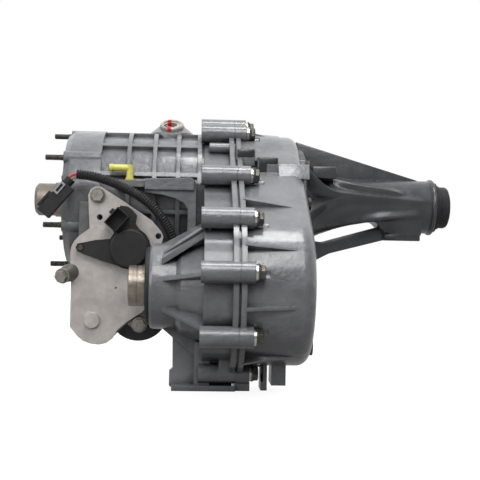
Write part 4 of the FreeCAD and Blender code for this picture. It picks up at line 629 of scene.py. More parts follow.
def skin(loops: list[list[Vector]], capped: bool) -> bmesh.types.BMesh:
    """Closed skin over loops of equal length.

    Args:
        loops: loops of points in millimetres.
        capped: whether a face closes each end, or else the last loop joins the first.

    Returns:
        The skin in metres, with its faces outwards.
    """
    body = bmesh.new()
    rows = [[body.verts.new(point * MM) for point in loop] for loop in loops]
    for first, second in zip(rows, rows[1:] if capped else rows[1:] + rows[:1]):
        for i in range(len(first)):
            j = (i + 1) % len(first)
            body.faces.new((first[i], first[j], second[j], second[i]))
    if capped:
        body.faces.new(rows[0])
        body.faces.new(rows[-1])
    bmesh.ops.recalc_face_normals(body, faces=body.faces)
    return body


def meshed(name: str, body: bmesh.types.BMesh) -> Mesh:
    """Turn a finished body to a mesh and free it.

    Args:
        name: name of the mesh.
        body: the body.

    Returns:
        The mesh.
    """
    mesh = bpy.data.meshes.new(name)
    body.to_mesh(mesh)
    body.free()
    return mesh


def lathed(name: str, rings: list[Ring], segments: int, way: Vector = Vector((1.0, 0.0, 0.0)),
           at: Vector = Vector((0.0, 0.0, 0.0)), pitch: float = 1.0) -> Mesh:
    """Closed mesh of rings along an axis.

    Args:
        name: name of the mesh.
        rings: rings in order along the axis.
        segments: points of each ring.
        way: direction of the axis in the frame.
        at: place of the rings' origin in millimetres.
        pitch: thread pitch where rings have a thread.

    Returns:
        The mesh, in metres.
    """
    turn = Vector((1.0, 0.0, 0.0)).rotation_difference(way.normalized()).to_matrix()
    angles = [2.0 * math.pi * i / segments for i in range(segments)]
    loops = [[turn @ Vector(ring.point(angle, pitch)) + at for angle in angles] for ring in rings]
    return meshed(name, skin(loops, True))


def joined_mesh(name: str, meshes: list[Mesh]) -> Mesh:
    """Join meshes into one.

    Args:
        name: name of the result.
        meshes: meshes in the same frame.

    Returns:
        The joined mesh.
    """
    body = bmesh.new()
    for mesh in meshes:
        body.from_mesh(mesh)
        bpy.data.meshes.remove(mesh)
    return meshed(name, body)


def smooth(piece: Piece, angle: float = 35.0) -> Piece:
    """Shade a piece smooth up to an edge angle.

    Args:
        piece: the piece.
        angle: sharpest smooth edge in degrees.

    Returns:
        The same piece.
    """
    mesh = piece.data
    mesh.shade_smooth()
    mesh.set_sharp_from_angle(angle=math.radians(angle))
    return piece


def along(table: tuple, x: float, column: int = 1) -> float:
    """Value of a table at one place, on a smooth line through its rows.

    Args:
        table: rows of a place and its values.
        x: the place.
        column: which value of the rows.

    Returns:
        The value.
    """
    if x <= table[0][0]:
        return table[0][column]
    if x >= table[-1][0]:
        return table[-1][column]
    i = max(k for k, row in enumerate(table) if row[0] <= x)
    first, last = table[i], table[min(i + 1, len(table) - 1)]
    before, after = table[max(i - 1, 0)], table[min(i + 2, len(table) - 1)]
    span = last[0] - first[0]
    t = (x - first[0]) / span
    slope_in = (last[column] - before[column]) / (last[0] - before[0]) * span
    slope_out = (after[column] - first[column]) / (after[0] - first[0]) * span
    return ((2 * t ** 3 - 3 * t ** 2 + 1) * first[column] + (t ** 3 - 2 * t ** 2 + t) * slope_in
            + (3 * t ** 2 - 2 * t ** 3) * last[column] + (t ** 3 - t ** 2) * slope_out)


def looped(name: str, loops: list[list[Vector]]) -> Mesh:
    """Closed skin over loops in millimetres, out along the outside and back along the bore."""
    return meshed(name, skin(loops, False))


def turned_loops(profile: tuple, count: int, centre: tuple[float, float] = (0.0, 0.0)
                 ) -> list[list[Vector]]:
    """Loops of a ring turned about a line along X.

    Args:
        profile: places along X and radii, out along the outside and back along the bore.
        count: points of each loop.
        centre: Y and Z of the line.

    Returns:
        The loops.
    """
    turns = [2.0 * math.pi * i / count for i in range(count)]
    y, z = centre
    return [[Vector((x, y + r * math.cos(turn), z + r * math.sin(turn))) for turn in turns]
            for x, r in profile]


def slab(name: str, outline: tuple, near: float, far: float, round_mm: float, axis: Axis = Axis.Y) -> Mesh:
    """Plate drawn as an outline and given a thickness, with rounded edges.

    Args:
        name: name of the mesh.
        outline: corners in millimetres, as the two places that the thickness leaves.
        near: one face.
        far: the other face.
        round_mm: radius of its edges.
        axis: direction of the thickness.

    Returns:
        The mesh, in metres.
    """
    place = list(Axis).index(axis)
    sides = [[Vector((*corner[:place], level, *corner[place:])) for corner in outline]
             for level in (near, far)]
    body = skin(sides, True)
    if round_mm:
        bmesh.ops.bevel(body, geom=body.edges[:], offset=round_mm * MM, segments=3, profile=0.5,
                        affect="EDGES", clamp_overlap=True)
    return meshed(name, body)


def scatter_tree() -> Tree:
    """Tree that stands one fastener on each point, turned at random about X.

    Returns:
        The tree.
    """
    tree, given = geometry_tree("fasteners_on_points", {
        "Fastener": "NodeSocketObject", "Turn": "NodeSocketFloat", "Seed": "NodeSocketInt",
        "Material": "NodeSocketMaterial"})
    turn = add(tree, "FunctionNodeRandomValue", {2: 0.0, 3: given["Turn"], "Seed": given["Seed"]},
               data_type="FLOAT")
    way = add(tree, "ShaderNodeCombineXYZ", {"X": turn.outputs[1]})
    fastener = add(tree, "GeometryNodeObjectInfo", {"Object": given["Fastener"]})
    points = add(tree, "GeometryNodeMeshToPoints", {"Mesh": given["Geometry"]})
    stood = add(tree, "GeometryNodeInstanceOnPoints", {
        "Points": points.outputs["Points"], "Instance": fastener.outputs["Geometry"],
        "Rotation": way.outputs["Vector"]})
    finish_tree(tree, stood.outputs["Instances"], given["Material"])
    return tree


def corrugated_tree() -> Tree:
    """Tree that sweeps a ribbed tube along a line.

    Returns:
        The tree.
    """
    tree, given = geometry_tree("ribbed_tube", {
        "Radius": "NodeSocketFloat", "Rib Depth": "NodeSocketFloat", "Rib Pitch": "NodeSocketFloat",
        "Segments": "NodeSocketInt", "Material": "NodeSocketMaterial"})
    line = add(tree, "GeometryNodeMeshToCurve", {"Mesh": given["Geometry"]})
    step = add(tree, "ShaderNodeMath", {0: given["Rib Pitch"], 1: STEPS_PER_RIB}, operation="DIVIDE")
    even = add(tree, "GeometryNodeResampleCurve", {"Curve": line.outputs["Curve"], "Length": step.outputs[0]},
               mode="LENGTH")
    travel = add(tree, "GeometryNodeSplineParameter")
    ribs = add(tree, "ShaderNodeMath", {0: travel.outputs["Length"], 1: given["Rib Pitch"]},
               operation="DIVIDE")
    phase = add(tree, "ShaderNodeMath", {0: ribs.outputs[0], 1: 2.0 * math.pi}, operation="MULTIPLY")
    wave = add(tree, "ShaderNodeMath", {0: phase.outputs[0]}, operation="SINE")
    share = add(tree, "ShaderNodeMapRange", {"Value": wave.outputs[0], "From Min": -0.55, "From Max": 0.35},
                interpolation_type="SMOOTHSTEP")
    bulge = add(tree, "ShaderNodeMath", {0: share.outputs["Result"], 1: given["Rib Depth"]},
                operation="MULTIPLY")
    valley = add(tree, "ShaderNodeMath", {0: given["Radius"], 1: given["Rib Depth"]}, operation="SUBTRACT")
    radius = add(tree, "ShaderNodeMath", {0: valley.outputs[0], 1: bulge.outputs[0]}, operation="ADD")
    ring = add(tree, "GeometryNodeCurvePrimitiveCircle", {"Resolution": given["Segments"], "Radius": 1.0})
    tube = add(tree, "GeometryNodeCurveToMesh", {
        "Curve": even.outputs["Curve"], "Profile Curve": ring.outputs["Curve"], "Scale": radius.outputs[0],
        "Fill Caps": True})
    finish_tree(tree, tube.outputs["Mesh"], given["Material"])
    return tree


@dataclass
class Studio:
    """Camera, floor, backdrop and lamps."""

    camera_mm: Place = (174.4, -1346.6, -52.8)
    turn_deg: float = 3.0
    roll_deg: float = 1.12
    focal_px: float = 930.0
    floor_gap_mm: float = 0.2
    floor_reach_m: float = 12.0
    floor_tones: tuple[str, str] = ("#5c5c5c", "#242424")
    floor_glow: float = 0.9
    floor_sheen: float = 0.35
    room_light: float = 0.2
    room_depth: tuple[float, float] = (-0.25, 0.45)
    bounce_light: float = 3.0
    bounce_height: tuple[float, float] = (-0.3, 0.6)
    aim_m: Place = (0.25, -0.05, -0.05)
    lamps: tuple = (("key_softbox", (0.34, -0.42, 1.45), (0.36, 0.5), 9.0),
                    ("front_softbox", (-0.8, -1.15, 0.35), (0.7, 0.7), 5.5),
                    ("brow_softbox", (0.2, -1.2, 0.9), (0.6, 0.6), 9.0))

    def camera(self) -> None:
        """Stand the camera where the photograph was taken."""
        data = bpy.data.cameras.new("photo_camera")
        data.lens = SENSOR_MM * self.focal_px / PHOTO_PIXELS
        data.sensor_width = SENSOR_MM
        turn = math.radians(self.turn_deg)
        roll = math.radians(self.roll_deg)
        right = Vector((math.cos(turn), -math.sin(turn), 0.0))
        up = Vector((0.0, 0.0, 1.0))
        back = Vector((-math.sin(turn), -math.cos(turn), 0.0))
        side = right * math.cos(roll) + up * math.sin(roll)
        top = up * math.cos(roll) - right * math.sin(roll)
        matrix = Matrix((side, top, back)).transposed().to_4x4()
        matrix.translation = Vector(self.camera_mm) * MM
        camera = placed("photo_camera", data)
        camera.matrix_world = matrix
        bpy.context.scene.camera = camera

    def seen(self, tree: Tree, rays: bpy.types.NodeOutputs) -> Socket:
        """Whether the eye looks at a surface, straight or through glass."""
        return add(tree, "ShaderNodeMath", {0: rays["Is Camera Ray"], 1: rays["Is Transmission Ray"]},
                   operation="MAXIMUM").outputs[0]

    def paper(self) -> Material:
        """White paper that stays white to the camera and keeps a shadow.

        Returns:
            The material.
        """
        made = bpy.data.materials.new("white_paper")
        made.use_nodes = True
        tree = made.node_tree
        tree.nodes.clear()
        rays = add(tree, "ShaderNodeLightPath").outputs
        sheen = add(tree, "ShaderNodeMath", {0: rays["Is Glossy Ray"], 1: self.floor_sheen},
                    operation="MULTIPLY")
        shown = add(tree, "ShaderNodeMath", {0: self.seen(tree, rays), 1: sheen.outputs[0]},
                    operation="MAXIMUM")
        glow = add(tree, "ShaderNodeMath", {0: shown.outputs[0], 1: self.floor_glow}, operation="MULTIPLY")
        plain, shaded = self.floor_tones
        tone = add(tree, "ShaderNodeMix", {0: rays["Is Diffuse Ray"], 6: linear(plain), 7: linear(shaded)},
                   data_type="RGBA")
        matt = add(tree, "ShaderNodeBsdfPrincipled", {
            "Base Color": tone.outputs[2], "Roughness": 0.9, "Emission Color": linear("#ffffff"),
            "Emission Strength": glow.outputs[0]})
        add(tree, "ShaderNodeOutputMaterial", {"Surface": matt.outputs["BSDF"]})
        return made

    def floor(self) -> None:
        """Lay one wide sheet of paper just under the part."""
        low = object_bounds()[0][2] - self.floor_gap_mm * MM
        reach = self.floor_reach_m
        mesh = bpy.data.meshes.new("floor")
        mesh.from_pydata([(-reach, -reach, low), (reach, -reach, low), (reach, reach, low),
                          (-reach, reach, low)], [], [(0, 1, 2, 3)])
        mesh.materials.append(self.paper())
        placed("floor", mesh)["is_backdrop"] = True

    def lamp(self, name: str, at: Place, size: tuple[float, float], watts: float) -> None:
        """Hang one soft box that faces the part.

        Args:
            name: name of the lamp.
            at: its place in metres.
            size: its sides in metres.
            watts: its power.
        """
        data = bpy.data.lights.new(name, "AREA")
        data.shape = "RECTANGLE"
        data.size, data.size_y = size
        data.energy = watts
        lamp = placed(name, data)
        lamp.location = at
        lamp.rotation_euler = (Vector(self.aim_m) - Vector(at)).to_track_quat("-Z", "Y").to_euler()

    def world(self) -> None:
        """White sweep behind the part for the eye and for metal, and a dimmer room in front of it."""
        world = bpy.data.worlds.new("studio")
        world.use_nodes = True
        bpy.context.scene.world = world
        tree = world.node_tree
        tree.nodes.clear()
        rays = add(tree, "ShaderNodeLightPath").outputs
        way = add(tree, "ShaderNodeSeparateXYZ", {0: add(tree, "ShaderNodeTexCoord").outputs["Generated"]})
        near, far = self.room_depth
        sweep = add(tree, "ShaderNodeMapRange", {
            "Value": way.outputs["Y"], "From Min": near, "From Max": far, "To Min": self.room_light,
            "To Max": 1.0}, interpolation_type="SMOOTHSTEP")
        low, high = self.bounce_height
        bounce = add(tree, "ShaderNodeMapRange", {
            "Value": way.outputs["Z"], "From Min": low, "From Max": high, "To Min": 0.0,
            "To Max": self.bounce_light})
        soft = add(tree, "ShaderNodeMath", {0: sweep.outputs["Result"], 1: bounce.outputs["Result"]},
                   operation="MULTIPLY")
        shown = add(tree, "ShaderNodeMix", {
            0: rays["Is Glossy Ray"], 2: soft.outputs[0], 3: sweep.outputs["Result"]})
        power = add(tree, "ShaderNodeMix", {0: self.seen(tree, rays), 2: shown.outputs[0], 3: 1.0})
        sky = add(tree, "ShaderNodeBackground", {"Color": linear("#ffffff"), "Strength": power.outputs[0]})
        add(tree, "ShaderNodeOutputWorld", {"Surface": sky.outputs["Background"]})

    def build(self) -> None:
        """Set up the whole studio."""
        self.camera()
        self.world()
        for lamp in self.lamps:
            self.lamp(*lamp)
        bpy.context.scene.view_settings.view_transform = "Standard"
        LOG.info("studio is set")


@dataclass
class MotorLead:
    """Corrugated conduit of the shift motor, its two leads and its connector."""

    frame: dict
    route_mm: tuple = ((144.0, -84.6, -120.9), (150.5, -90.5, -109.0), (155.0, -99.0, -94.0),
                       (156.5, -108.0, -77.0), (152.5, -117.0, -58.0), (143.5, -124.0, -37.0),
                       (130.0, -128.0, -18.0), (111.5, -129.0, -1.0), (86.0, -127.5, 12.5),
                       (61.0, -125.0, 22.5), (41.0, -122.5, 27.6), (24.0, -121.0, 29.0))
    diameter_mm: float = 13.0
    length_mm: float = 239.1
    rib_pitch_mm: float = 3.3
    rib_depth_mm: float = 1.1
    points_round: int = 22
    wire_mm: float = 3.0
    wire_step_mm: float = 5.0
    wire_points_round: int = 16
    red_mm: tuple = ((25.0, -122.5, 29.8), (20.0, -123.5, 28.6), (15.0, -124.0, 26.0), (11.5, -123.5, 22.5))
    tan_mm: tuple = ((25.0, -120.5, 27.0), (20.5, -120.5, 25.4), (17.0, -120.5, 22.4), (14.0, -120.5, 20.0))

    def spline(self, name: str, points: tuple) -> list[Vector]:
        """Points of a smooth line over control points.

        Args:
            name: name of the line.
            points: control points in millimetres.

        Returns:
            Points in metres, in order.
        """
        curve = bpy.data.curves.new(name, "CURVE")
        curve.dimensions = "3D"
        curve.resolution_u = 16
        line = curve.splines.new("NURBS")
        line.points.add(len(points) - 1)
        for control, point in zip(line.points, points):
            control.co = (*[c * MM for c in point], 1.0)
        line.order_u = 3
        line.use_endpoint_u = True
        mesh = settled(placed(name, curve))
        found = [corner.co.copy() for corner in mesh.vertices]
        bpy.data.meshes.remove(mesh)
        return found

    def tube(self, name: str, path: list[Vector], finish: Finish, diameter: float, depth: float, pitch: float,
             segments: int) -> Piece:
        """Tube along a path, ribbed where it has a rib depth.

        Args:
            name: name of the piece.
            path: points in metres.
            finish: its finish.
            diameter: across its ribs, in millimetres.
            depth: of its ribs.
            pitch: of its ribs.
            segments: points round it.

        Returns:
            The tube.
        """
        tube = grown(name, corrugated_tree(), points_mesh(name + "_line", path, joined=True), {
            "Radius": diameter / 2.0 * MM, "Rib Depth": depth * MM, "Rib Pitch": pitch * MM,
            "Segments": segments, "Material": finish.material()})
        return smooth(tube, 60.0)

    def build(self) -> None:
        path = self.spline("conduit_route", self.route_mm)
        tube = self.tube("conduit_ribbed", path, CONDUIT_PLASTIC, self.diameter_mm, self.rib_depth_mm,
                         self.rib_pitch_mm, self.points_round)
        wire = (self.wire_mm, 0.0, self.wire_step_mm, self.wire_points_round)
        red = self.tube("red_lead", self.spline("red_lead_route", self.red_mm), RED_LEAD, *wire)
        tan = self.tube("tan_lead", self.spline("tan_lead_route", self.tan_mm), TAN_LEAD, *wire)
        dress(self.frame, NYLON, "connector_body")
        dress(self.frame, LOCK, "connector_lock")
        for piece in (tube, red, tan):
            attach(piece, "case")
        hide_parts("conduit")
        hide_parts("lead_wires")
        [c * MM for c in self.route_mm[0]]


@dataclass
class Castings:
    """Front case and rear case in grey enamel, with the rear case's rounded lugs and leaning ledge."""

    frame: dict
    lugs: tuple = (("upper_lug", (231.7, 257.4), (56.0, 68.9), (-112.5, -78.0)),
                   ("lower_lug", (259.6, 287.4), (34.6, 57.4), (-122.5, -86.0)))
    lug_round_mm: float = 3.0
    ledge_x_mm: tuple[float, float] = (287.0, 328.4)
    ledge_y_mm: tuple[float, float] = (-131.0, -124.4)
    ledge_z_mm: tuple[float, float] = (28.6, 48.4)
    ledge_back_mm: float = -100.0
    ledge_round_mm: float = 1.0

    def build(self) -> None:
        """Dress the castings and lay the finer forms over the rear case."""
        dress(self.frame, ENAMEL, "front_case", "rear_case")
        # The lugs take enamel darkened as painted shade.
        for name, (left, right), (low, high), (near, far) in self.lugs:
            corners = ((left, low), (right, low), (right, high), (left, high))
            self.cover(name, slab(name, corners, near, far, self.lug_round_mm), SHADED_LUG_ENAMEL)
        (foot, brow), (bottom, top) = self.ledge_y_mm, self.ledge_z_mm
        corners = ((foot, bottom), (brow, top), (self.ledge_back_mm, top), (self.ledge_back_mm, bottom))
        lean = slab("ledge_face", corners, *self.ledge_x_mm, self.ledge_round_mm, Axis.X)
        # The ledge takes enamel lightened as a painted highlight.
        self.cover("ledge_face", lean, LIT_LEDGE_ENAMEL)

    def cover(self, name: str, mesh: Mesh, finish: Finish) -> None:
        """Lay a finer form over the rear case.

        Args:
            name: name of the piece.
            mesh: its mesh.
            finish: its finish.
        """
        piece = smooth(piece_of(name, mesh, finish), 40.0)
        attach(piece, "case")


@dataclass(frozen=True)
class Ridge:
    """Fin of the tail housing: place along X, angle above the side, crest radius, and half thickness."""

    crest: tuple
    half_mm: float = 7.0
    spread: float = 0.55
    crest_mm: float = 1.1
    hollow: float = 1.5

    def rise(self, x: float, angle: float, base: float) -> float:
        """Radius that the fin adds at one place.

        Args:
            x: place along the tail.
            angle: degrees above the side.
            base: radius of the tube there.

        Returns:
            Extra radius in millimetres.
        """
        if not self.crest[0][0] <= x <= self.crest[-1][0]:
            return 0.0
        height = max(0.0, along(self.crest, x, 2) - base)
        away = abs(math.radians(angle - along(self.crest, x, 1))) * base
        skirt = self.half_mm + self.spread * height
        rest = max(0.0, 1.0 - math.sqrt(away ** 2 + self.crest_mm ** 2) / skirt)
        return height * rest ** self.hollow / (1.0 - self.crest_mm / skirt) ** self.hollow


@dataclass
class TailCasting:
    """Tail housing as one casting: flared tube with fins that run out along it, web, arm, pad and lug."""

    frame: dict
    flange_x: float = 323.0
    flange_mm: float = 9.0
    flange_r: float = 79.0
    flange_edge_mm: float = 1.5
    mouth_r: float = 42.0
    bolt_r: float = 70.0
    bolt_angles: tuple = (50.0, 130.0, 180.0, 230.0, 310.0, 0.0)
    ear_r: float = 11.0
    hole_r: float = 3.0
    edge_mm: float = 0.8
    shell_x: float = 331.0
    pace_mm: float = 1.9
    paces: int = 96
    last_paces: tuple = (513.0, 516.0)
    lip: tuple = ((516.6, 37.4), (518.0, 39.6), (519.4, 40.5), (522.0, 40.5), (523.0, 39.5))
    tube: tuple = ((331.0, 62.0, -1.0), (340.0, 55.0, -0.5), (351.0, 47.2, 1.0), (370.0, 41.0, 2.0),
                   (386.0, 38.2, 2.0), (410.0, 36.4, 1.5), (434.0, 36.4, 1.0), (450.0, 37.4, 0.5),
                   (462.0, 38.2, 0.0), (516.0, 38.3, 0.0))
    belly: tuple = ((340.0, -60.0), (351.0, -46.4), (367.0, -39.2), (386.0, -32.4), (410.0, -26.6),
                    (433.0, -21.8), (442.0, -27.0), (450.0, -45.0))
    bore: tuple = ((332.0, 42.0), (350.0, 38.0), (400.0, 24.0), (436.0, 18.5), (452.0, 24.5), (472.0, 24.5),
                   (472.1, 26.05), (509.0, 26.05), (509.1, 31.1), (523.0, 31.1))
    flank: tuple = ((436.0, 6.0, -21.5), (445.0, 7.5, -29.0), (451.0, 9.0, -40.0), (458.0, 17.0, -42.0),
                    (468.0, 24.0, -42.0), (478.0, 25.4, -42.0), (500.0, 25.4, -42.0), (505.0, 24.0, -41.0))
    fins: tuple = (
        Ridge(((331.0, 38.0, 88.0), (336.0, 34.0, 83.5), (349.0, 26.5, 74.0), (363.0, 21.0, 63.5),
               (378.0, 18.8, 53.0), (404.0, 18.4, 46.6), (440.0, 16.0, 43.7), (500.0, 9.0, 41.6),
               (514.0, 7.5, 38.3))),
        Ridge(((331.0, -15.0, 82.0), (339.0, -10.0, 76.0), (350.0, -4.6, 65.0), (364.0, 2.8, 55.0),
               (379.0, 9.5, 48.7), (404.0, 18.0, 44.5), (412.0, 18.4, 37.0))),
        Ridge(((345.0, 72.0, 44.0), (360.0, 62.0, 45.0), (405.0, 41.5, 46.0), (460.0, 28.0, 44.0),
               (482.0, 23.0, 37.0))),
        Ridge(((372.0, -56.0, 36.0), (400.0, -41.0, 39.0), (441.0, -26.7, 42.5), (491.0, -19.0, 42.3),
               (512.0, -16.0, 38.0))),
    )
    steps: int = 200
    slack_mm: float = 0.01
    web: tuple = (((323.0, 30.0), (323.0, 91.0), (503.0, 38.6), (508.0, 30.0)), -4.0, 4.0, 1.6)
    arm: tuple = (((323.0, -40.0), (323.0, -94.0), (338.0, -92.0), (356.0, -79.5), (374.0, -70.0),
                   (452.0, -49.4), (500.0, -49.4), (500.0, -30.0), (449.0, -28.5), (440.0, -31.5),
                   (363.0, -53.5), (353.0, -52.5), (350.0, -47.0), (352.0, -40.0)), -8.8, 8.8, 2.2)
    pad: tuple = (((452.0, -18.0), (470.0, -26.0), (502.5, -26.0), (502.5, 26.0), (470.0, 26.0),
                   (452.0, 18.0)), -49.5, -40.0, 1.2, Axis.Z)
    pad_holes: tuple = ((479.0, -18.0, -45.0), (479.0, 18.0, -45.0))
    pad_hole_r: float = 4.2
    lug: tuple = (((341.0, 35.0), (375.0, 35.0), (375.0, 52.0), (341.0, 52.0)), -58.0, -20.0, 2.0)
    sensor_bosses: tuple = ((352.0, 13.0, 8.1), (371.0, 7.0, 2.5))
    sensor_y: tuple[float, float] = (30.0, 66.0)

    def outer(self, x: float) -> list[Vector]:
        """Outer loop of the tail at one place.

        Args:
            x: place along the tail.

        Returns:
            Points of the loop.
        """
        radius, centre = along(self.tube, x, 1), along(self.tube, x, 2)
        wide = drop = 0.0
        if self.flank[0][0] <= x <= self.flank[-1][0]:
            wide, drop = along(self.flank, x, 1), along(self.flank, x, 2)
        loop = []
        for i in range(self.steps * 2):
            turn = math.pi * i / self.steps
            side, up = math.cos(turn), math.sin(turn)
            reach = centre * up + math.sqrt(radius ** 2 - (centre * side) ** 2)
            if up < 0.0 and x < self.belly[-1][0]:
                reach = min(reach, along(self.belly, x) / up)
            if wide and up < 0.0:
                reach = max(reach, self.flank_reach(radius, centre, wide, drop, abs(side), up))
            angle = math.degrees(math.atan2(up, abs(side)))
            reach += max(fin.rise(x, angle, reach) for fin in self.fins)
            loop.append(Vector((x, reach * side, reach * up)))
        return loop

    def flank_reach(self, radius: float, centre: float, wide: float, drop: float, side: float, up: float
                    ) -> float:
        """Distance to the flank and its flat bottom along one ray.

        Args:
            radius: radius of the tube.
            centre: height of its axis.
            wide: half width of the flank's bottom.
            drop: height of the flank's bottom.
            side: sideways share of the ray.
            up: upward share of the ray.

        Returns:
            The distance, or 0 where the ray misses both.
        """
        bottom = drop / up
        if bottom * side <= wide:
            return bottom
        away = math.hypot(wide, drop - centre)
        if away <= radius:
            return 0.0
        lean = math.atan2(drop - centre, wide) + math.acos(radius / away)
        across, rise = math.cos(lean), math.sin(lean)
        span = across * side + rise * up
        reach = (radius + rise * centre) / span if span > 1e-6 else 0.0
        inside = wide - self.slack_mm <= reach * side <= radius * across + self.slack_mm
        outside = reach * side >= radius * across - self.slack_mm or reach * up > centre + radius * rise
        return 0.0 if outside and not inside else max(0.0, reach)

    def shell(self) -> Mesh:
        """Flared tube with its fins and its bore."""
        places = [self.shell_x + self.pace_mm * i for i in range(self.paces)] + list(self.last_paces)
        loops = [self.outer(x) for x in places]
        return looped("tail_shell", loops + turned_loops(self.lip + self.bore[::-1], self.steps * 2))

    def flange(self) -> list[Mesh]:
        """Bolting flange with its ears.

        Returns:
            The disc and one ear for each bolt.
        """
        front, back = self.flange_x, self.flange_x + self.flange_mm
        rounds = [("tail_flange", self.mouth_r, self.flange_r, self.flange_edge_mm, 120, (0.0, 0.0))]
        for angle in self.bolt_angles:
            turn = math.radians(angle)
            centre = (self.bolt_r * math.cos(turn), self.bolt_r * math.sin(turn))
            rounds.append(("tail_ear", self.hole_r, self.ear_r, self.edge_mm, 40, centre))
        return [looped(name, turned_loops(((front, bore), (front, radius), (back - edge, radius),
                                           (back, radius - edge), (back, bore)), count, centre))
                for name, bore, radius, edge, count, centre in rounds]

    def plates(self) -> list[Mesh]:
        """Top web, lower arm, drilled pad and lug."""
        return [slab("tail_web", *self.web), slab("tail_arm", *self.arm),
                self.drilled(slab("tail_pad", *self.pad)), slab("tail_lug", *self.lug)]

    def drilled(self, pad: Mesh) -> Mesh:
        """Drill the two holes of the pad from below.

        Args:
            pad: mesh of the pad.

        Returns:
            The drilled mesh.
        """
        block = placed("pad_block", pad)
        drills = []
        for hole in self.pad_holes:
            drill = lathed("pad_drill", [Ring(-20.0, self.pad_hole_r), Ring(20.0, self.pad_hole_r)], 32,
                           Vector((0.0, 0.0, 1.0)), Vector(hole))
            drills.append(placed("pad_drill", drill))
            cut = block.modifiers.new("hole", "BOOLEAN")
            cut.object = drills[-1]
            cut.solver = "EXACT"
        mesh = settled(block)
        for drill in drills:
            bpy.data.objects.remove(drill)
        return mesh

    def sensor_seats(self) -> list[Mesh]:
        """Two bosses on the far side that carry the speed sensor.

        Returns:
            One mesh for each boss.
        """
        root, face = self.sensor_y
        seats = []
        for x, radius, bore in self.sensor_bosses:
            profile = ((root, bore), (root, radius), (face - self.edge_mm, radius),
                       (face, radius - self.edge_mm), (face, bore))
            loops = turned_loops(profile, 40, (x, 0.0))
            seats.append(looped("sensor_boss", [[point.yxz for point in loop] for loop in loops]))
        return seats

    def build(self) -> None:
        """Make the casting in place of its plain solid."""
        meshes = [self.shell()] + self.flange() + self.plates() + self.sensor_seats()
        # The tail takes enamel darkened as painted shade.
        piece = smooth(piece_of("tail_casting", joined_mesh("tail_casting", meshes), SHADED_TAIL_ENAMEL), 38.0)
        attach(piece, "case")
        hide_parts("extension_housing")


@dataclass
class Fasteners:
    """Bolts, washers and studs of the castings."""

    frame: dict
    case_bolt_mm: float = 10.0
    tail_bolt_mm: float = 8.0
    across: float = 1.5
    flange_reach: float = 0.7
    head_height: float = 0.85
    stud_mm: float = 8.0
    stud_out_mm: float = 24.9
    stud_plain_mm: float = 5.5
    stud_tip_mm: float = 1.2
    thread_pitch_mm: float = 1.25
    thread_depth_mm: float = 0.75
    rings_per_turn: float = 6.0
    tree: Tree | None = None

    def bolt(self, name: str, size: float) -> Piece:
        """Flange bolt head at the origin, standing along +X from its seat.

        Args:
            name: name of the mould.
            size: thread diameter.

        Returns:
            The mould, off the scene.
        """
        across = self.across * size
        corner = across / math.sqrt(3.0)
        flange = across * self.flange_reach
        top = size * self.head_height
        rings = [Ring(0.0, flange - 0.3), Ring(0.25, flange), Ring(size * 0.14, flange),
                 Ring(size * 0.22, flange - 0.7), Ring(size * 0.29, corner * 1.03, True),
                 Ring(size * 0.34, corner, True), Ring(top - 1.0, corner, True),
                 Ring(top - 0.35, corner * 0.93), Ring(top, corner * 0.83), Ring(top - 0.05, corner * 0.74),
                 Ring(top - 0.55, corner * 0.66), Ring(top - 0.6, corner * 0.3)]
        mesh = lathed(name, rings, 48)
        mesh.shade_smooth()
        mesh.set_sharp_from_angle(angle=math.radians(24.0))
        return bpy.data.objects.new(name, mesh)

    def stud(self) -> Piece:
        """Threaded stud end at the origin, standing along -X from the case.

        Returns:
            The mould, off the scene.
        """
        radius = self.stud_mm / 2.0
        out, plain, tip = self.stud_out_mm, self.stud_plain_mm, self.stud_tip_mm
        rows = int((out - plain - tip) / self.thread_pitch_mm * self.rings_per_turn)
        rings = [Ring(-out, radius - 1.0), Ring(-out + 0.9, radius - 0.2)]
        for row in range(rows):
            x = -out + tip + row * self.thread_pitch_mm / self.rings_per_turn
            rings.append(Ring(x, radius, thread=self.thread_depth_mm))
        rings.extend([Ring(-plain, radius - 0.35), Ring(-plain + 0.6, radius - 0.1), Ring(0.5, radius - 0.1)])
        mesh = lathed("stud_mould", rings, 20, pitch=self.thread_pitch_mm)
        mesh.shade_smooth()
        return bpy.data.objects.new("stud_mould", mesh)

    def stand(self, name: str, node: str, mould: Piece, seats: list[Vector], turn: float) -> None:
        """Stand a mould on each seat in place of a node.

        Args:
            name: name of the new piece.
            node: node that it replaces.
            mould: fastener at the origin.
            seats: places in metres.
            turn: widest random turn in radians.
        """
        bpy.context.scene.collection.objects.link(mould)
        piece = grown(name, self.tree, points_mesh(name + "_seats", seats), {
            "Fastener": mould, "Turn": turn, "Seed": 7, "Material": PHOSPHATE.material()})
        bpy.data.objects.remove(mould)
        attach(piece, "case")
        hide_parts(node)

    def build(self) -> None:
        """Make every fastener of the castings."""
        self.tree = scatter_tree()
        nodes = self.frame["nodes"]
        for node, size, mould in (("case_bolts", self.case_bolt_mm, "case_bolt_mould"),
                                  ("tail_bolts", self.tail_bolt_mm, "tail_bolt_mould")):
            drop = size * self.head_height * MM
            seats = [Vector((high.x - drop, (low.y + high.y) / 2.0, (low.z + high.z) / 2.0))
                     for low, high in solid_boxes(nodes[node])]
            self.stand(node + "_heads", node, self.bolt(mould, size), seats, math.pi / 3.0)
        roots = [Vector((0.0, (low.y + high.y) / 2.0, (low.z + high.z) / 2.0))
                 for low, high in solid_boxes(nodes["adapter_studs"])]
        self.stand("adapter_studs_threaded", "adapter_studs", self.stud(), roots, 6.0)
        dress(self.frame, ZINC, "case_washers")
        dress(self.frame, GEAR, "dowels")


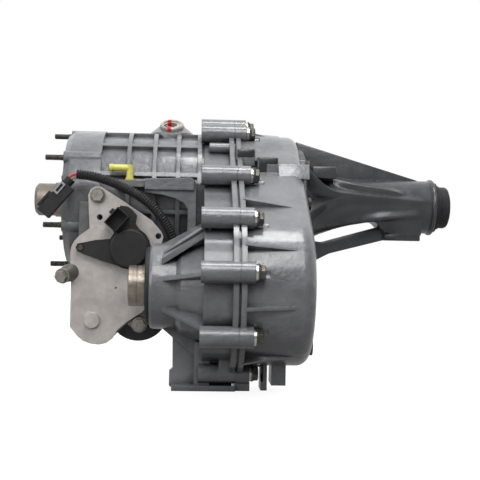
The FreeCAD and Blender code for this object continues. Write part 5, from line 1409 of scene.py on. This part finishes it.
@dataclass
class Dressed:
    """Sub-assembly whose CAD nodes only need their finishes."""

    frame: dict
    looks: tuple = ()

    def build(self) -> None:
        """Dress the nodes, one finish after another."""
        for finish, *nodes in self.looks:
            dress(self.frame, finish, *nodes)


@dataclass
class ShiftMotor(Dressed):
    """Shift motor, its gearbox, cover and position sensor."""

    looks: tuple = (
        (SHEET, "cover_plate"), (DIE_CAST, "gearbox_housing", "motor_spacer"), (CAN_COAT, "motor_can"),
        (NYLON, "position_sensor"), (PHOSPHATE, "sensor_screw"), (ZINC_BOLT, "motor_bolts"),
        (GEAR, "output_gear", "idler_gear", "motor_pinion"))


@dataclass
class Shafts(Dressed):
    """Input stub, front output, tail seal, boot and bush."""

    looks: tuple = (
        (SHAFT, "input_gear", "front_output_shaft", "main_shaft"),
        (RUBBER, "input_seal", "front_output_slinger", "dust_boot", "rear_seal"),
        (GEAR, "input_bearing", "front_output_bearing", "pocket_bearing", "rear_bearing"),
        (BRONZE, "tail_bushing"))


@dataclass
class Gearing(Dressed):
    """Planetary set, chain drive and shift parts inside the case."""

    looks: tuple = (
        (GEAR, "annulus_gear", "planet_carrier", "planet_gear_1", "planet_gear_2", "planet_gear_3",
         "planet_gear_4", "range_sleeve", "mode_hub", "mode_sleeve", "shift_rail", "sector_plate",
         "sector_shaft", "tone_wheel"),
        (CHAIN, "drive_sprocket", "driven_sprocket", "drive_chain"),
        (DIE_CAST, "range_fork", "mode_fork", "oil_pump"), (BRONZE, "sector_bush"),
        (NYLON, "pickup_tube", "speed_sensor"), (FERRITE, "magnet"))


@dataclass
class Plugs(Dressed):
    """Fill plug, drain plug and breather."""

    looks: tuple = ((PLUG_PAINT, "fill_plug"), (PHOSPHATE, "drain_plug"), (BREATHER, "vent"))


def main() -> None:
    """Build the scene in order."""
    logging.basicConfig(level=logging.INFO, format="%(name)s: %(message)s")
    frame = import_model()
    studio = Studio()
    studio.build()
    for assembly in (MotorLead, Castings, TailCasting, Fasteners, ShiftMotor, Shafts, Gearing, Plugs):
        assembly(frame).build()
        LOG.info("%s is ready", assembly.__name__)
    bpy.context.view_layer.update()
    studio.floor()


if __name__ == "__main__":
    main()
